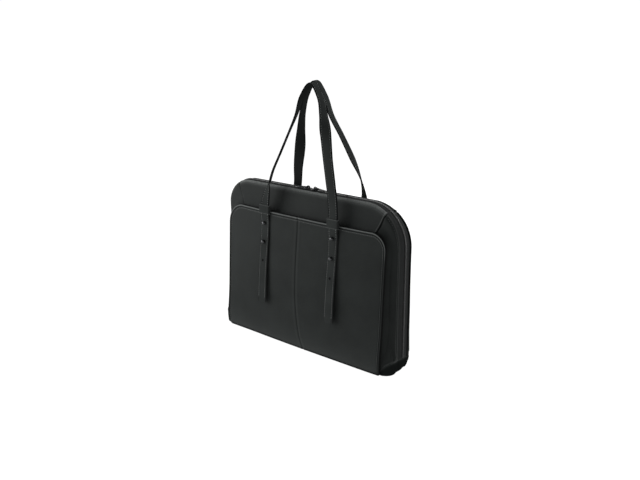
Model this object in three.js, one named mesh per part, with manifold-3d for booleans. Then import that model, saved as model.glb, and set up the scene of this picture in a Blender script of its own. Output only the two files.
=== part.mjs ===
// A zipped business bag in black leather, with a slip pocket over its front and two long strap handles.
// Millimetres, +Z up. It stands on its base, front towards -Y, with the origin under its centre.
import * as THREE from "three";
import { mergeVertices } from "three/addons/utils/BufferGeometryUtils.js";
import Module from "manifold-3d";

const wasm = await Module();
wasm.setup();

// Driving dimensions
const LEATHER = 2; // thickness of a body panel
const TAPE = 1.2; // thickness of the zip tape
const GAP = 0.3; // clearance between neighbouring pieces
const SEAM_TRIM = 0.35; // how far each wall stops short of the seam line that it shares

// Front and back panels: distance from the middle plane, and how it changes over the panel
const DEPTH_AT_BASE = 49;
const DEPTH_LOST_PER_MM = 0.049; // the panels lean towards each other as they rise
const EDGE_SETBACK = 6.8; // how far the side edges lie behind the bulged centre
const SETBACK_POWER = 2.5;
const FLATTER_BELOW = 90; // below this height the bulge fades towards the straight bottom edge
const BULGE_LOST_AT_BASE = 0.75;
const TUCK = 4.5; // how far the bottom edge turns under
const TUCK_HEIGHT = 40;
const BELLY = { depth: 3, height: 140, reach: 60 }; // slack fullness of the panel
const PANEL_BOTTOM = 0.3;

// Outlines seen from the front: half width, height and corner radii, right and left
const POCKET = { halfWidth: 181, height: 234.5, corner: [28, 38], bottomCorner: [4.5, 12] };
const FRONT_EDGE = { halfWidth: 179, height: 233, corner: [27, 37] };
const LEATHER_RIM = { halfWidth: 195, height: 275.4, corner: [67, 43.5] };
const ZIP_RIM = { halfWidth: 196.5, height: 276.6, corner: [68, 44.5] };

// Direction of the wall where panel and gusset meet, and at the rim: shares outwards and to the front
const FRONT_CREASE = { outward: 0.42, forward: 0.9 };
const RIM_CREASE = { outward: 0.9, forward: 0.43 };

// The slanting corner seams, right and left, as angles round the corner arcs of the two outlines
const SEAM_AT_FRONT_EDGE = [78, 86];
const SEAM_AT_RIM = [54.5, 60];

// The leather stops short of the zip, further on the sides than on the top
const RIM_TO_MIDDLE_ON_TOP = 8;
const RIM_TO_MIDDLE_ON_SIDES = 13;
const CHAIN_HALF_WIDTH = 2.2; // to the seam line that the chain shares with a tape
const CHAIN_THICKNESS = 2.4;
const CHAIN_PROUD = 0.6;

// How far the leather swells between the front edge and the rim
const YOKE_ROLL = 4.8;
const SEAM_ROLL = 4.2;
const SIDE_ROLL = { front: 1, back: 3 };
const FOOT_ROLL = { front: 9, back: -1 }; // added at the foot of a gusset, where the base holds it
const FOOT_SHARE = 0.35; // part of the gusset's length over which that fades
const SHOULDER = 6 / 7; // share of a section at which it swells most
const ROW_CROWDING = 1.5; // above 1 the rows of a section lie closer near the rim

// Base: a floor whose ends turn up to the gussets' lower edges
const FLOOR = { halfDepth: 40.7, endHalfDepth: 38.4, thickness: 2.2 };
const BASE_TURN = { front: 2.5, back: 10 }; // depth of the turn at an end
const BASE_TURN_FROM = { front: -0.4, back: 0.8 }; // shares of the depth between which the turn grows
const BASE_TURN_SHARE = 0.2; // part of the columns spent on each turned-up end
const BASE_ZIP_SHARE = 1 / 3; // part of the end's width that meets the zip
const GUSSET_BOTTOM_AT_FRONT = 2.6;
const GUSSET_BOTTOM_AT_RIM = 22;
const HEM_LIFT = 10.8; // how far the gusset's lower edge arches above a straight line
const HEM_LEAN = 0.66; // below 1 that arch peaks nearer the front

// Strap handles
const STRAP = { width: 20, thickness: 2.8, seat: 0.6, spacing: 79 };
const STRAP_TAPER = { share: 0.95, from: 250, to: 330 }; // the grip is narrower than the tails
const HOLE_RADIUS = 2.1;
const STUD_HEIGHTS = { upper: 213.6, lower: 180 };
const SPARE_HOLE_HEIGHT = 146;
const KEEPER = { width: 24, band: 1.4, height: 15.6, bottom: 230, slack: 0.5, seat: 0.7 };
const KEEPER_CORNER = { outside: 1.6, inside: 0.4 };
const KEEPER_STAND_OFF = KEEPER.seat + KEEPER.band + KEEPER.slack;
const STUD = { shank: 1.8, head: 3.3, headHeight: 4.6, washer: 3.6, washerThickness: 0.8 };
const STUD_HEAD = [
  { radiusShare: 1, heightShare: 0.35 },
  { radiusShare: 0.94, heightShare: 0.65 },
  { radiusShare: 0.55, heightShare: 0.93 },
  { radiusShare: 0, heightShare: 1 },
];

// Zip sliders and pulls
const SLIDER = { length: 10, width: 9, thickness: 2.2, tailChamfer: 2, noseChamfer: 3, noseWidth: 4.5 };
const BRIDGE = { halfLength: 3.4, height: 3.6, halfHole: 1.9, holeHeight: 2.5, width: 2.4 };
const BRIDGE_SUNK = 0.5; // how far the bridge's feet reach into the plate
const BRIDGE_SHOULDER = 0.6; // share of its height and length at which the bridge is chamfered
const PULL = { length: 23, width: 7, neck: 5.6, bar: 1.4, eyeLength: 5.6, eyeWidth: 3.4 };
const PULL_DROOP = 5; // degrees by which a resting pull slopes down to the chain
const HINGE_X = { left: -12, right: 4 };
const CHAIN_TOP = ZIP_RIM.height + CHAIN_PROUD;
const SLIDER_TOP = CHAIN_TOP + GAP + SLIDER.thickness;
const HINGE_Z = SLIDER_TOP + BRIDGE.holeHeight / 2;

// Rows of a strap tail from its tip to the keeper: height, and stand-off of its inner face from the panel
const TAIL = [
  { z: 69, standOff: 5.5 },
  { z: 110, standOff: 3.8 },
  { z: SPARE_HOLE_HEIGHT, standOff: 1.8 },
  { z: STUD_HEIGHTS.lower, standOff: STRAP.seat },
  { z: STUD_HEIGHTS.upper, standOff: STRAP.seat },
  { z: KEEPER.bottom, standOff: KEEPER_STAND_OFF },
  { z: KEEPER.bottom + KEEPER.height, standOff: KEEPER_STAND_OFF },
];

// Rows of each handle above its keepers, from left to right: centre line and turn of the strap about Z
const FRONT_ARCH = [
  { x: -76, y: -35, z: 275, turn: -22 },
  { x: -68.5, y: -30, z: 305, turn: -44 },
  { x: -54, y: -24, z: 340, turn: -45 },
  { x: -40, y: -17.5, z: 375, turn: -46 },
  { x: -27, y: -11.5, z: 405, turn: -50 },
  { x: -15, y: -9.6, z: 436, turn: -60 },
  { x: 5.5, y: -9.3, z: 458.2, turn: -66 },
  { x: 24.5, y: -9.6, z: 436, turn: -74 },
  { x: 33.5, y: -12, z: 405, turn: -98 },
  { x: 43, y: -17.5, z: 375, turn: -152 },
  { x: 53, y: -24, z: 340, turn: -169 },
  { x: 64, y: -30, z: 305, turn: -172 },
  { x: 73, y: -35, z: 275, turn: -177 },
];
const BACK_ARCH = [
  { x: -70, y: 35, z: 275, turn: 179 },
  { x: -64, y: 30, z: 305, turn: 190 },
  { x: -54, y: 24, z: 340, turn: 222 },
  { x: -45, y: 17.5, z: 375, turn: 264 },
  { x: -36, y: 12, z: 405, turn: 287 },
  { x: -25, y: 9.6, z: 435, turn: 294 },
  { x: -4.5, y: 9.3, z: 459.5, turn: 296 },
  { x: 15.5, y: 9.6, z: 438, turn: 296 },
  { x: 29.5, y: 11.5, z: 405, turn: 291 },
  { x: 46, y: 17.5, z: 375, turn: 287 },
  { x: 63, y: 24, z: 340, turn: 284 },
  { x: 78, y: 30, z: 305, turn: 308 },
  { x: 83, y: 35, z: 275, turn: 331 },
];

// Mesh steps
const STEP = 1e-3; // parameter step for tangents
const MERGE_DISTANCE = 1e-4;
const DRILL_REACH = 30;
const POCKET_CORNER_SHARE = 0.22; // part of the pocket's rows spent on each rounded corner
const PANEL_COLUMNS = 22;
const PANEL_ROWS = 13;
const GUSSET_COLUMNS = 16;
const SECTION_ROWS = 4;
const STRAP_STEPS = 84;
const BASE_COLUMNS = 18;
const BASE_ROWS = 12;
const ROUND_SIDES = 10;
const CORNER_STEPS = 2;
const TAB_STEPS = 6;

const rad = THREE.MathUtils.degToRad;
const lerp = THREE.MathUtils.lerp;
const RIGHT = 0;
const LEFT = 1;

const leather = new THREE.MeshStandardMaterial({ color: 0x2b2d2c, roughness: 0.55, metalness: 0 });
const strapLeather = new THREE.MeshStandardMaterial({ color: 0x282a29, roughness: 0.5, metalness: 0 });
const zipCloth = new THREE.MeshStandardMaterial({ color: 0x1b1c1c, roughness: 0.9, metalness: 0 });
const darkMetal = new THREE.MeshStandardMaterial({ color: 0x55575a, roughness: 0.3, metalness: 1 });

// Outer face of the front pocket and of the back panel: distance from the middle plane at (x, z).
function panelDepth(x, z) {
  const lean = DEPTH_AT_BASE - DEPTH_LOST_PER_MM * z;
  const tuck = TUCK * Math.max(0, 1 - z / TUCK_HEIGHT) ** 2;
  const bulge = 1 - BULGE_LOST_AT_BASE * Math.max(0, 1 - z / FLATTER_BELOW) ** 2;
  const share = Math.abs(x) / FRONT_EDGE.halfWidth;
  const setback = EDGE_SETBACK * bulge * share ** SETBACK_POWER;
  const fullness = Math.exp(-(((z - BELLY.height) / BELLY.reach) ** 2));
  const belly = BELLY.depth * fullness * Math.max(0, 1 - share ** 2);
  return lean - tuck + belly - setback;
}

// Outer face of the body behind the pocket: flat across, close to the pocket only along its edges.
function depthBehindPocket(x, z) {
  return panelDepth(POCKET.halfWidth, z) - LEATHER - 2 * GAP;
}

// Point of an outline with rounded top corners, in the XZ plane, at an angle round one of its corners.
// Both hands count x outwards.
function cornerPoint(outline, degrees, hand) {
  const corner = outline.corner[hand];
  const x = outline.halfWidth - corner + corner * Math.cos(rad(degrees));
  const z = outline.height - corner + corner * Math.sin(rad(degrees));
  return { x, z };
}

// Height of an outline's top edge at x.
function topOf(outline, x) {
  const corner = outline.corner[x < 0 ? LEFT : RIGHT];
  const past = Math.max(0, Math.abs(x) - (outline.halfWidth - corner));
  return outline.height - corner + Math.sqrt(corner ** 2 - past ** 2);
}

// Half width of an outline on one hand at height z.
function halfWidthAt(outline, z, hand) {
  const corner = outline.corner[hand];
  const bottomCorner = outline.bottomCorner ? outline.bottomCorner[hand] : 0;
  const above = Math.max(0, z - (outline.height - corner));
  const below = Math.max(0, PANEL_BOTTOM + bottomCorner - z);
  const cut = (radius, reach) => radius - Math.sqrt(Math.max(0, radius ** 2 - reach ** 2));
  return outline.halfWidth - cut(corner, above) - cut(bottomCorner, below);
}

// Runs up one side of an outline from bottom to an angle round its corner; q goes from 0 to 1.
function sideRun(outline, bottom, degrees, hand) {
  const corner = outline.corner[hand];
  const straight = outline.height - corner - bottom;
  const total = straight + corner * rad(degrees);
  return (q) => {
    const run = q * total;
    if (run <= straight) return { x: outline.halfWidth, z: bottom + run, degrees: 0 };
    const angle = THREE.MathUtils.radToDeg((run - straight) / corner);
    return { ...cornerPoint(outline, angle, hand), degrees: angle };
  };
}

// Runs round a whole outline from the lower right end, over the top, to the lower left end.
function wholeRun(outline, bottom) {
  const sides = [RIGHT, LEFT].map((hand) => sideRun(outline, bottom, 90, hand));
  const lengths = outline.corner.map((corner) => outline.height - corner - bottom + corner * rad(90));
  const topLength = 2 * outline.halfWidth - outline.corner[RIGHT] - outline.corner[LEFT];
  const total = lengths[RIGHT] + topLength + lengths[LEFT];
  return (q) => {
    const run = q * total;
    if (run <= lengths[RIGHT]) return sides[RIGHT](run / lengths[RIGHT]);
    if (run < lengths[RIGHT] + topLength) {
      const x = outline.halfWidth - outline.corner[RIGHT] - (run - lengths[RIGHT]);
      return { x, z: outline.height, degrees: 90 };
    }
    const left = sides[LEFT]((total - run) / lengths[LEFT]);
    return { x: -left.x, z: left.z, degrees: 180 - left.degrees };
  };
}

// Distance of the leather's rim from the middle plane, by the direction in which the outline faces.
function rimToMiddle(degrees) {
  return lerp(RIM_TO_MIDDLE_ON_SIDES, RIM_TO_MIDDLE_ON_TOP, Math.sin(rad(degrees)) ** 2);
}

// Direction that bisects the wall at a crease: partly outwards across the outline, partly to the front.
function creaseDirection(degrees, { outward, forward }) {
  const across = new THREE.Vector3(Math.cos(rad(degrees)), 0, Math.sin(rad(degrees)));
  return across.multiplyScalar(outward).add(new THREE.Vector3(0, -forward, 0)).normalize();
}
const frontCrease = (degrees) => creaseDirection(degrees, FRONT_CREASE);
const rimCrease = (degrees) => creaseDirection(degrees, RIM_CREASE);

// Closed wall behind the outer face surface(u, v), u and v from 0 to 1. The outer face looks along
// dv x du. lean.first, lean.last, lean.start and lean.end give the wall's direction at an edge that
// meets a neighbour at an angle. Every edge stops short of its seam line.
function wall(surface, columns, rows, thickness, lean = {}) {
  const outer = [];
  const inner = [];
  for (let i = 0; i <= columns; i++) {
    outer.push([]);
    inner.push([]);
    for (let j = 0; j <= rows; j++) {
      const u = i / columns;
      const v = j / rows;
      const du = surface(u + STEP, v).sub(surface(u - STEP, v));
      const dv = surface(u, v + STEP).sub(surface(u, v - STEP));
      let outward = dv.cross(du).normalize();
      if (j === 0 && lean.first) outward = lean.first(u);
      if (j === rows && lean.last) outward = lean.last(u);
      if (i === 0 && lean.start) outward = lean.start(v) ?? outward;
      if (i === columns && lean.end) outward = lean.end(v) ?? outward;
      outer[i].push(surface(u, v));
      inner[i].push(surface(u, v).addScaledVector(outward, -thickness));
    }
  }
  for (const face of [outer, inner]) trimEdges(face, columns, rows);
  return closeGrid(outer, inner, columns, rows);
}

// Moves the edge points of a grid back from the seam lines.
function trimEdges(grid, columns, rows) {
  const pull = (point, towards) => {
    point.addScaledVector(towards.clone().sub(point).normalize(), SEAM_TRIM);
  };
  for (let i = 0; i <= columns; i++) {
    pull(grid[i][0], grid[i][1]);
    pull(grid[i][rows], grid[i][rows - 1]);
  }
  for (let j = 0; j <= rows; j++) {
    pull(grid[0][j], grid[1][j]);
    pull(grid[columns][j], grid[columns - 1][j]);
  }
}

// Joins an outer and an inner grid of points into one closed geometry.
function closeGrid(outer, inner, columns, rows) {
  const positions = [];
  for (const face of [outer, inner]) {
    for (const column of face) {
      for (const point of column) positions.push(point.x, point.y, point.z);
    }
  }
  const index = [];
  const innerStart = (columns + 1) * (rows + 1);
  const at = (i, j) => i * (rows + 1) + j;
  const quad = (a, b, c, d) => index.push(a, b, c, c, b, d);
  const rim = (from, to) => quad(from, to, from + innerStart, to + innerStart);
  for (let i = 0; i < columns; i++) {
    for (let j = 0; j < rows; j++) {
      const corners = [at(i, j), at(i, j + 1), at(i + 1, j), at(i + 1, j + 1)];
      quad(...corners);
      const [a, b, c, d] = corners.map((corner) => corner + innerStart);
      quad(a, c, b, d);
    }
  }
  for (let i = 0; i < columns; i++) {
    rim(at(i, 0), at(i + 1, 0));
    rim(at(i + 1, rows), at(i, rows));
  }
  for (let j = 0; j < rows; j++) {
    rim(at(0, j + 1), at(0, j));
    rim(at(columns, j), at(columns, j + 1));
  }
  const geometry = new THREE.BufferGeometry();
  geometry.setAttribute("position", new THREE.Float32BufferAttribute(positions, 3));
  geometry.setIndex(index);
  return geometry;
}

// Solid of a closed geometry, for joins and cuts.
function solid(geometry) {
  const plain = geometry.clone();
  plain.deleteAttribute("normal");
  plain.deleteAttribute("uv");
  const merged = mergeVertices(plain, MERGE_DISTANCE);
  const vertProperties = new Float32Array(merged.attributes.position.array);
  const triVerts = new Uint32Array(merged.index.array);
  return new wasm.Manifold(new wasm.Mesh({ numProp: 3, vertProperties, triVerts }));
}

// Geometry of a solid.
function geometryOf(made) {
  const mesh = made.getMesh();
  const geometry = new THREE.BufferGeometry();
  geometry.setAttribute("position", new THREE.Float32BufferAttribute(mesh.vertProperties, 3));
  geometry.setIndex(new THREE.BufferAttribute(mesh.triVerts, 1));
  geometry.computeVertexNormals();
  return geometry;
}

// Section of the leather between the front edge and the rim at q: a straight line pushed out by swell.
function section(frontEdge, rimEdge, q, w, swell) {
  const front = frontEdge(q);
  const span = rimEdge(q).sub(front);
  const along = rimEdge(q + STEP).sub(rimEdge(q - STEP));
  const outward = span.clone().cross(along).normalize();
  return front.addScaledVector(span, w).addScaledVector(outward, swell);
}

// Swelling from 0 over 1 to 0 across a section: flat at first, fullest at the shoulder, round at the rim.
function shoulder(w) {
  const power = SHOULDER / (2 * (1 - SHOULDER));
  const shape = (share) => share ** power * Math.sqrt(Math.max(0, 1 - share));
  return shape(Math.max(0, w)) / shape(SHOULDER);
}

// Share of a section at step t of its rows.
function rowShare(t) {
  return 1 - Math.max(0, 1 - t) ** ROW_CROWDING;
}

// Body wall: a panel from the base to the top of the front edge, then a yoke that rolls over to the rim.
function bodyWall(depth, bottom) {
  const seamFront = [RIGHT, LEFT].map((hand) => cornerPoint(FRONT_EDGE, SEAM_AT_FRONT_EDGE[hand], hand));
  const seamRim = [RIGHT, LEFT].map((hand) => cornerPoint(LEATHER_RIM, SEAM_AT_RIM[hand], hand));
  const panelShare = 1 - (SECTION_ROWS + 1) / PANEL_ROWS;
  const frontEdge = (q) => {
    const x = lerp(seamFront[RIGHT].x, -seamFront[LEFT].x, q);
    const z = topOf(FRONT_EDGE, x);
    return new THREE.Vector3(x, -depth(x, z), z);
  };
  const facing = (x) => {
    const corner = LEATHER_RIM.corner[x < 0 ? LEFT : RIGHT];
    const past = Math.max(0, Math.abs(x) - (LEATHER_RIM.halfWidth - corner));
    const degrees = 90 - THREE.MathUtils.radToDeg(Math.asin(past / corner));
    return x > 0 ? degrees : 180 - degrees;
  };
  const rimEdge = (q) => {
    const x = lerp(seamRim[RIGHT].x, -seamRim[LEFT].x, q);
    return new THREE.Vector3(x, -rimToMiddle(facing(x)), topOf(LEATHER_RIM, x));
  };
  const panel = (q, rise) => {
    const halves = [RIGHT, LEFT].map((hand) => {
      return halfWidthAt(FRONT_EDGE, lerp(bottom, seamFront[hand].z, rise), hand);
    });
    const x = lerp(halves[RIGHT], -halves[LEFT], q);
    const z = lerp(bottom, frontEdge(q).z, rise);
    return new THREE.Vector3(x, -depth(x, z), z);
  };
  const surface = (u, v) => {
    if (v <= panelShare) return panel(u, v / panelShare);
    const roll = lerp(YOKE_ROLL, SEAM_ROLL, (2 * u - 1) ** 2);
    const w = rowShare((v - panelShare) / (1 - panelShare));
    return section(frontEdge, rimEdge, u, w, roll * shoulder(w));
  };
  const sideLean = (hand) => (v) => {
    if (v >= panelShare) return undefined;
    const height = lerp(bottom, seamFront[hand].z, v / panelShare);
    const corner = FRONT_EDGE.corner[hand];
    const past = Math.max(0, height - (FRONT_EDGE.height - corner)) / corner;
    const lean = frontCrease(THREE.MathUtils.radToDeg(Math.asin(past)));
    if (hand === LEFT) lean.x *= -1;
    return lean;
  };
  return wall(surface, PANEL_COLUMNS, PANEL_ROWS, LEATHER, {
    start: sideLean(RIGHT),
    end: sideLean(LEFT),
    last: (u) => rimCrease(facing(rimEdge(u).x)),
  });
}

// Outer face of a front gusset, with x counted outwards: u runs from the base up to the slanting seam,
// w from the body wall to the rim. A back gusset is the same in the mirror.
function gussetFace(face, hand) {
  const depth = face === "front" ? depthBehindPocket : panelDepth;
  const frontRun = sideRun(FRONT_EDGE, GUSSET_BOTTOM_AT_FRONT, SEAM_AT_FRONT_EDGE[hand], hand);
  const rimRun = sideRun(LEATHER_RIM, GUSSET_BOTTOM_AT_RIM, SEAM_AT_RIM[hand], hand);
  const frontEdge = (q) => {
    const { x, z } = frontRun(q);
    return new THREE.Vector3(x, -depth(x, z), z);
  };
  const rimEdge = (q) => {
    const { x, z, degrees } = rimRun(q);
    return new THREE.Vector3(x, -rimToMiddle(degrees), z);
  };
  const surface = (u, w) => {
    const foot = Math.max(0, 1 - u / FOOT_SHARE) ** 2;
    const roll = lerp(SIDE_ROLL[face], SEAM_ROLL, u ** 4) * shoulder(w);
    const footRoll = FOOT_ROLL[face] * foot * 4 * w * (1 - w);
    const point = section(frontEdge, rimEdge, u, w, roll + footRoll);
    point.z += HEM_LIFT * foot * Math.sin(Math.PI * THREE.MathUtils.clamp(w, 0, 1) ** HEM_LEAN);
    return point;
  };
  return { surface, frontRun, rimRun };
}

// Gusset: a wall behind that face, its rows crowded towards the rim.
function gusset(face, hand) {
  const { surface, frontRun, rimRun } = gussetFace(face, hand);
  const crowded = (u, v) => surface(u, rowShare(v));
  return wall(crowded, GUSSET_COLUMNS, SECTION_ROWS, LEATHER, {
    first: (u) => frontCrease(frontRun(u).degrees),
    last: (u) => rimCrease(rimRun(u).degrees),
  });
}

// Half of the pocket, with x counted outwards: the bulged face from its side edge to the centre seam.
function pocketHalf(hand) {
  const heights = (v) => {
    const share = POCKET_CORNER_SHARE;
    const height = POCKET.height;
    const corner = POCKET.corner[hand];
    const bottomCorner = POCKET.bottomCorner[hand];
    const low = PANEL_BOTTOM + bottomCorner;
    const high = height - corner;
    if (v < share) return low - bottomCorner * Math.cos(rad((90 * Math.max(v, 0)) / share));
    if (v > 1 - share) {
      const angle = (90 * Math.min(v - 1 + share, share)) / share;
      return high + corner * Math.sin(rad(angle));
    }
    return lerp(low, high, (v - share) / (1 - 2 * share));
  };
  const surface = (u, v) => {
    const z = heights(v);
    const x = (1 - u) * halfWidthAt(POCKET, z, hand);
    return new THREE.Vector3(x, -panelDepth(x, z), z);
  };
  const facing = (x, z) => {
    const step = 0.5;
    const slopeX = (panelDepth(x + step, z) - panelDepth(x - step, z)) / (2 * step);
    const slopeZ = (panelDepth(x, z + step) - panelDepth(x, z - step)) / (2 * step);
    return new THREE.Vector3(-slopeX, -1, -slopeZ).normalize();
  };
  const edgeFacing = (u, v) => {
    const point = surface(u, v);
    return facing(point.x, point.z);
  };
  return wall(surface, PANEL_COLUMNS / 2, PANEL_ROWS, LEATHER, {
    first: (u) => edgeFacing(u, 0),
    last: (u) => edgeFacing(u, 1),
    start: (v) => edgeFacing(0, v),
  });
}

// Zip tape: the band between the leather's rim and the chain, round the whole outline.
function zipTape() {
  const rimRun = wholeRun(LEATHER_RIM, GUSSET_BOTTOM_AT_RIM);
  const chainRun = wholeRun(ZIP_RIM, GUSSET_BOTTOM_AT_RIM);
  const surface = (u, v) => {
    const rim = rimRun(u);
    const chain = chainRun(u);
    const y = lerp(-rimToMiddle(rim.degrees), -CHAIN_HALF_WIDTH, v);
    return new THREE.Vector3(lerp(rim.x, chain.x, v), y, lerp(rim.z, chain.z, v));
  };
  return wall(surface, 2 * PANEL_COLUMNS, 1, TAPE, { first: (u) => rimCrease(rimRun(u).degrees) });
}

// Zip chain: a strip of even section between the tapes, its teeth closed.
function zipChain() {
  const run = wholeRun(ZIP_RIM, GUSSET_BOTTOM_AT_RIM);
  const surface = (u, v) => {
    const { x, z, degrees } = run(u);
    const proud = new THREE.Vector3(Math.cos(rad(degrees)), 0, Math.sin(rad(degrees)));
    const y = lerp(-CHAIN_HALF_WIDTH, CHAIN_HALF_WIDTH, v);
    return new THREE.Vector3(x, y, z).addScaledVector(proud, CHAIN_PROUD);
  };
  return wall(surface, 2 * PANEL_COLUMNS, 1, CHAIN_THICKNESS);
}

// Seam line at the base's right end: along the gussets' lower edges and past the zip. across goes from -1
// at the front to 1 at the back.
function baseSeam(across) {
  const side = across < 0 ? -1 : 1;
  const share = Math.abs(across);
  if (share <= BASE_ZIP_SHARE) {
    const x = lerp(ZIP_RIM.halfWidth, LEATHER_RIM.halfWidth, share / BASE_ZIP_SHARE);
    const y = (side * RIM_TO_MIDDLE_ON_SIDES * share) / BASE_ZIP_SHARE;
    return new THREE.Vector3(x, y, GUSSET_BOTTOM_AT_RIM);
  }
  const { surface } = gussetFace(side < 0 ? "front" : "back", RIGHT);
  const point = surface(0, rowShare((1 - share) / (1 - BASE_ZIP_SHARE)));
  point.y = side * Math.min(-point.y, FLOOR.endHalfDepth);
  return point;
}

// Base panel: a flat floor whose ends curve up. u runs along X, v across the depth.
function basePanel() {
  const surface = (u, v) => {
    const across = 2 * v - 1;
    const end = baseSeam(across);
    const towardsBack = THREE.MathUtils.smoothstep(across, BASE_TURN_FROM.front, BASE_TURN_FROM.back);
    const turn = Math.min(lerp(BASE_TURN.front, BASE_TURN.back, towardsBack), end.z);
    const side = u < 0.5 ? -1 : 1;
    const fromEnd = Math.min(u, 1 - u);
    const angle = rad(90 * Math.max(0, 1 - fromEnd / BASE_TURN_SHARE));
    const flat = Math.max(0, fromEnd - BASE_TURN_SHARE) / (0.5 - BASE_TURN_SHARE);
    const x = (end.x - turn) * (1 - flat) + turn * Math.sin(angle);
    const y = lerp(across * FLOOR.halfDepth, end.y, (x / end.x) ** 4);
    return new THREE.Vector3(side * x, y, end.z * (1 - Math.cos(angle)));
  };
  return wall(surface, BASE_COLUMNS, BASE_ROWS, FLOOR.thickness);
}

// Strap handle through its rows of stations: a ruled strip whose width direction turns about Z.
function handle(side, arch) {
  const tailRow = (x, turn) => ({ z, standOff }) => {
    const y = side * (panelDepth(x, z) + standOff + STRAP.thickness / 2);
    return { x, y, z, turn };
  };
  const turnAtLeft = side < 0 ? 0 : 180;
  const leftTail = TAIL.map(tailRow(-STRAP.spacing, turnAtLeft));
  const rightTail = TAIL.map(tailRow(STRAP.spacing, turnAtLeft + side * 180)).reverse();
  const rows = [...leftTail, ...arch, ...rightTail];
  const centre = new THREE.CatmullRomCurve3(rows.map((row) => new THREE.Vector3(row.x, row.y, row.z)));
  const turns = new THREE.CatmullRomCurve3(rows.map((row, i) => new THREE.Vector3(i, row.turn, 0)));
  const grids = [[], []];
  for (let i = 0; i <= STRAP_STEPS; i++) {
    const t = centre.getUtoTmapping(i / STRAP_STEPS);
    const point = centre.getPoint(t);
    const turn = rad(turns.getPoint(t).y);
    const across = new THREE.Vector3(Math.cos(turn), Math.sin(turn), 0);
    const outward = across.clone().cross(centre.getTangent(t)).normalize();
    const narrowing = THREE.MathUtils.smoothstep(point.z, STRAP_TAPER.from, STRAP_TAPER.to);
    const halfWidth = (STRAP.width / 2) * lerp(1, STRAP_TAPER.share, narrowing);
    grids.forEach((grid, inside) => {
      const lift = (0.5 - inside) * STRAP.thickness;
      const middle = point.clone().addScaledVector(outward, lift);
      grid.push([-1, 1].map((end) => middle.clone().addScaledVector(across, end * halfWidth)));
    });
  }
  let strap = solid(closeGrid(grids[0], grids[1], STRAP_STEPS, 1));
  for (const x of [-STRAP.spacing, STRAP.spacing]) {
    for (const z of [STUD_HEIGHTS.upper, STUD_HEIGHTS.lower, SPARE_HOLE_HEIGHT]) {
      strap = strap.subtract(solid(drill(x, side * panelDepth(x, z), z)));
    }
  }
  return geometryOf(strap);
}

// Round cutter along Y through (x, y, z).
function drill(x, y, z) {
  return new THREE.CylinderGeometry(HOLE_RADIUS, HOLE_RADIUS, DRILL_REACH, ROUND_SIDES).translate(x, y, z);
}

// Front-facing panel with the holes that its studs pass through.
function withStudHoles(geometry, xs) {
  let panel = solid(geometry);
  for (const x of xs) {
    for (const z of Object.values(STUD_HEIGHTS)) {
      panel = panel.subtract(solid(drill(x, -panelDepth(x, z), z)));
    }
  }
  return geometryOf(panel);
}

// Button stud, turned about Y: washer inside the panel, shank through panel and strap, round head outside.
function stud() {
  const { shank, head, headHeight, washer, washerThickness } = STUD;
  const seat = LEATHER + 2 * GAP; // washer's outer face, measured inwards from the panel's outer face
  const neck = STRAP.seat + STRAP.thickness + GAP;
  const profile = [
    [0, -seat - washerThickness],
    [washer, -seat - washerThickness],
    [washer, -seat],
    [shank, -seat],
    [shank, neck],
    ...STUD_HEAD.map(({ radiusShare, heightShare }) => {
      return [head * radiusShare, neck + headHeight * heightShare];
    }),
  ];
  return new THREE.LatheGeometry(profile.map(([r, y]) => new THREE.Vector2(r, y)), ROUND_SIDES);
}

// Keeper: a rectangular loop for the strap, standing along Z, its back at y = 0 and front towards -Y.
function keeper() {
  const holeDepth = STRAP.thickness + 2 * KEEPER.slack;
  const depth = holeDepth + 2 * KEEPER.band;
  const rounded = (halfWidth, low, high, radius, path) => {
    path.moveTo(-halfWidth + radius, low);
    path.absarc(halfWidth - radius, low + radius, radius, -Math.PI / 2, 0, false);
    path.absarc(halfWidth - radius, high - radius, radius, 0, Math.PI / 2, false);
    path.absarc(-halfWidth + radius, high - radius, radius, Math.PI / 2, Math.PI, false);
    path.absarc(-halfWidth + radius, low + radius, radius, Math.PI, Math.PI * 1.5, false);
    return path;
  };
  const shape = rounded(KEEPER.width / 2, -depth, 0, KEEPER_CORNER.outside, new THREE.Shape());
  const holeHalfWidth = STRAP.width / 2 + KEEPER.slack;
  const hole = new THREE.Path();
  shape.holes.push(rounded(holeHalfWidth, KEEPER.band - depth, -KEEPER.band, KEEPER_CORNER.inside, hole));
  return new THREE.ExtrudeGeometry(shape, {
    depth: KEEPER.height,
    bevelEnabled: false,
    curveSegments: CORNER_STEPS,
  });
}

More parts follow.
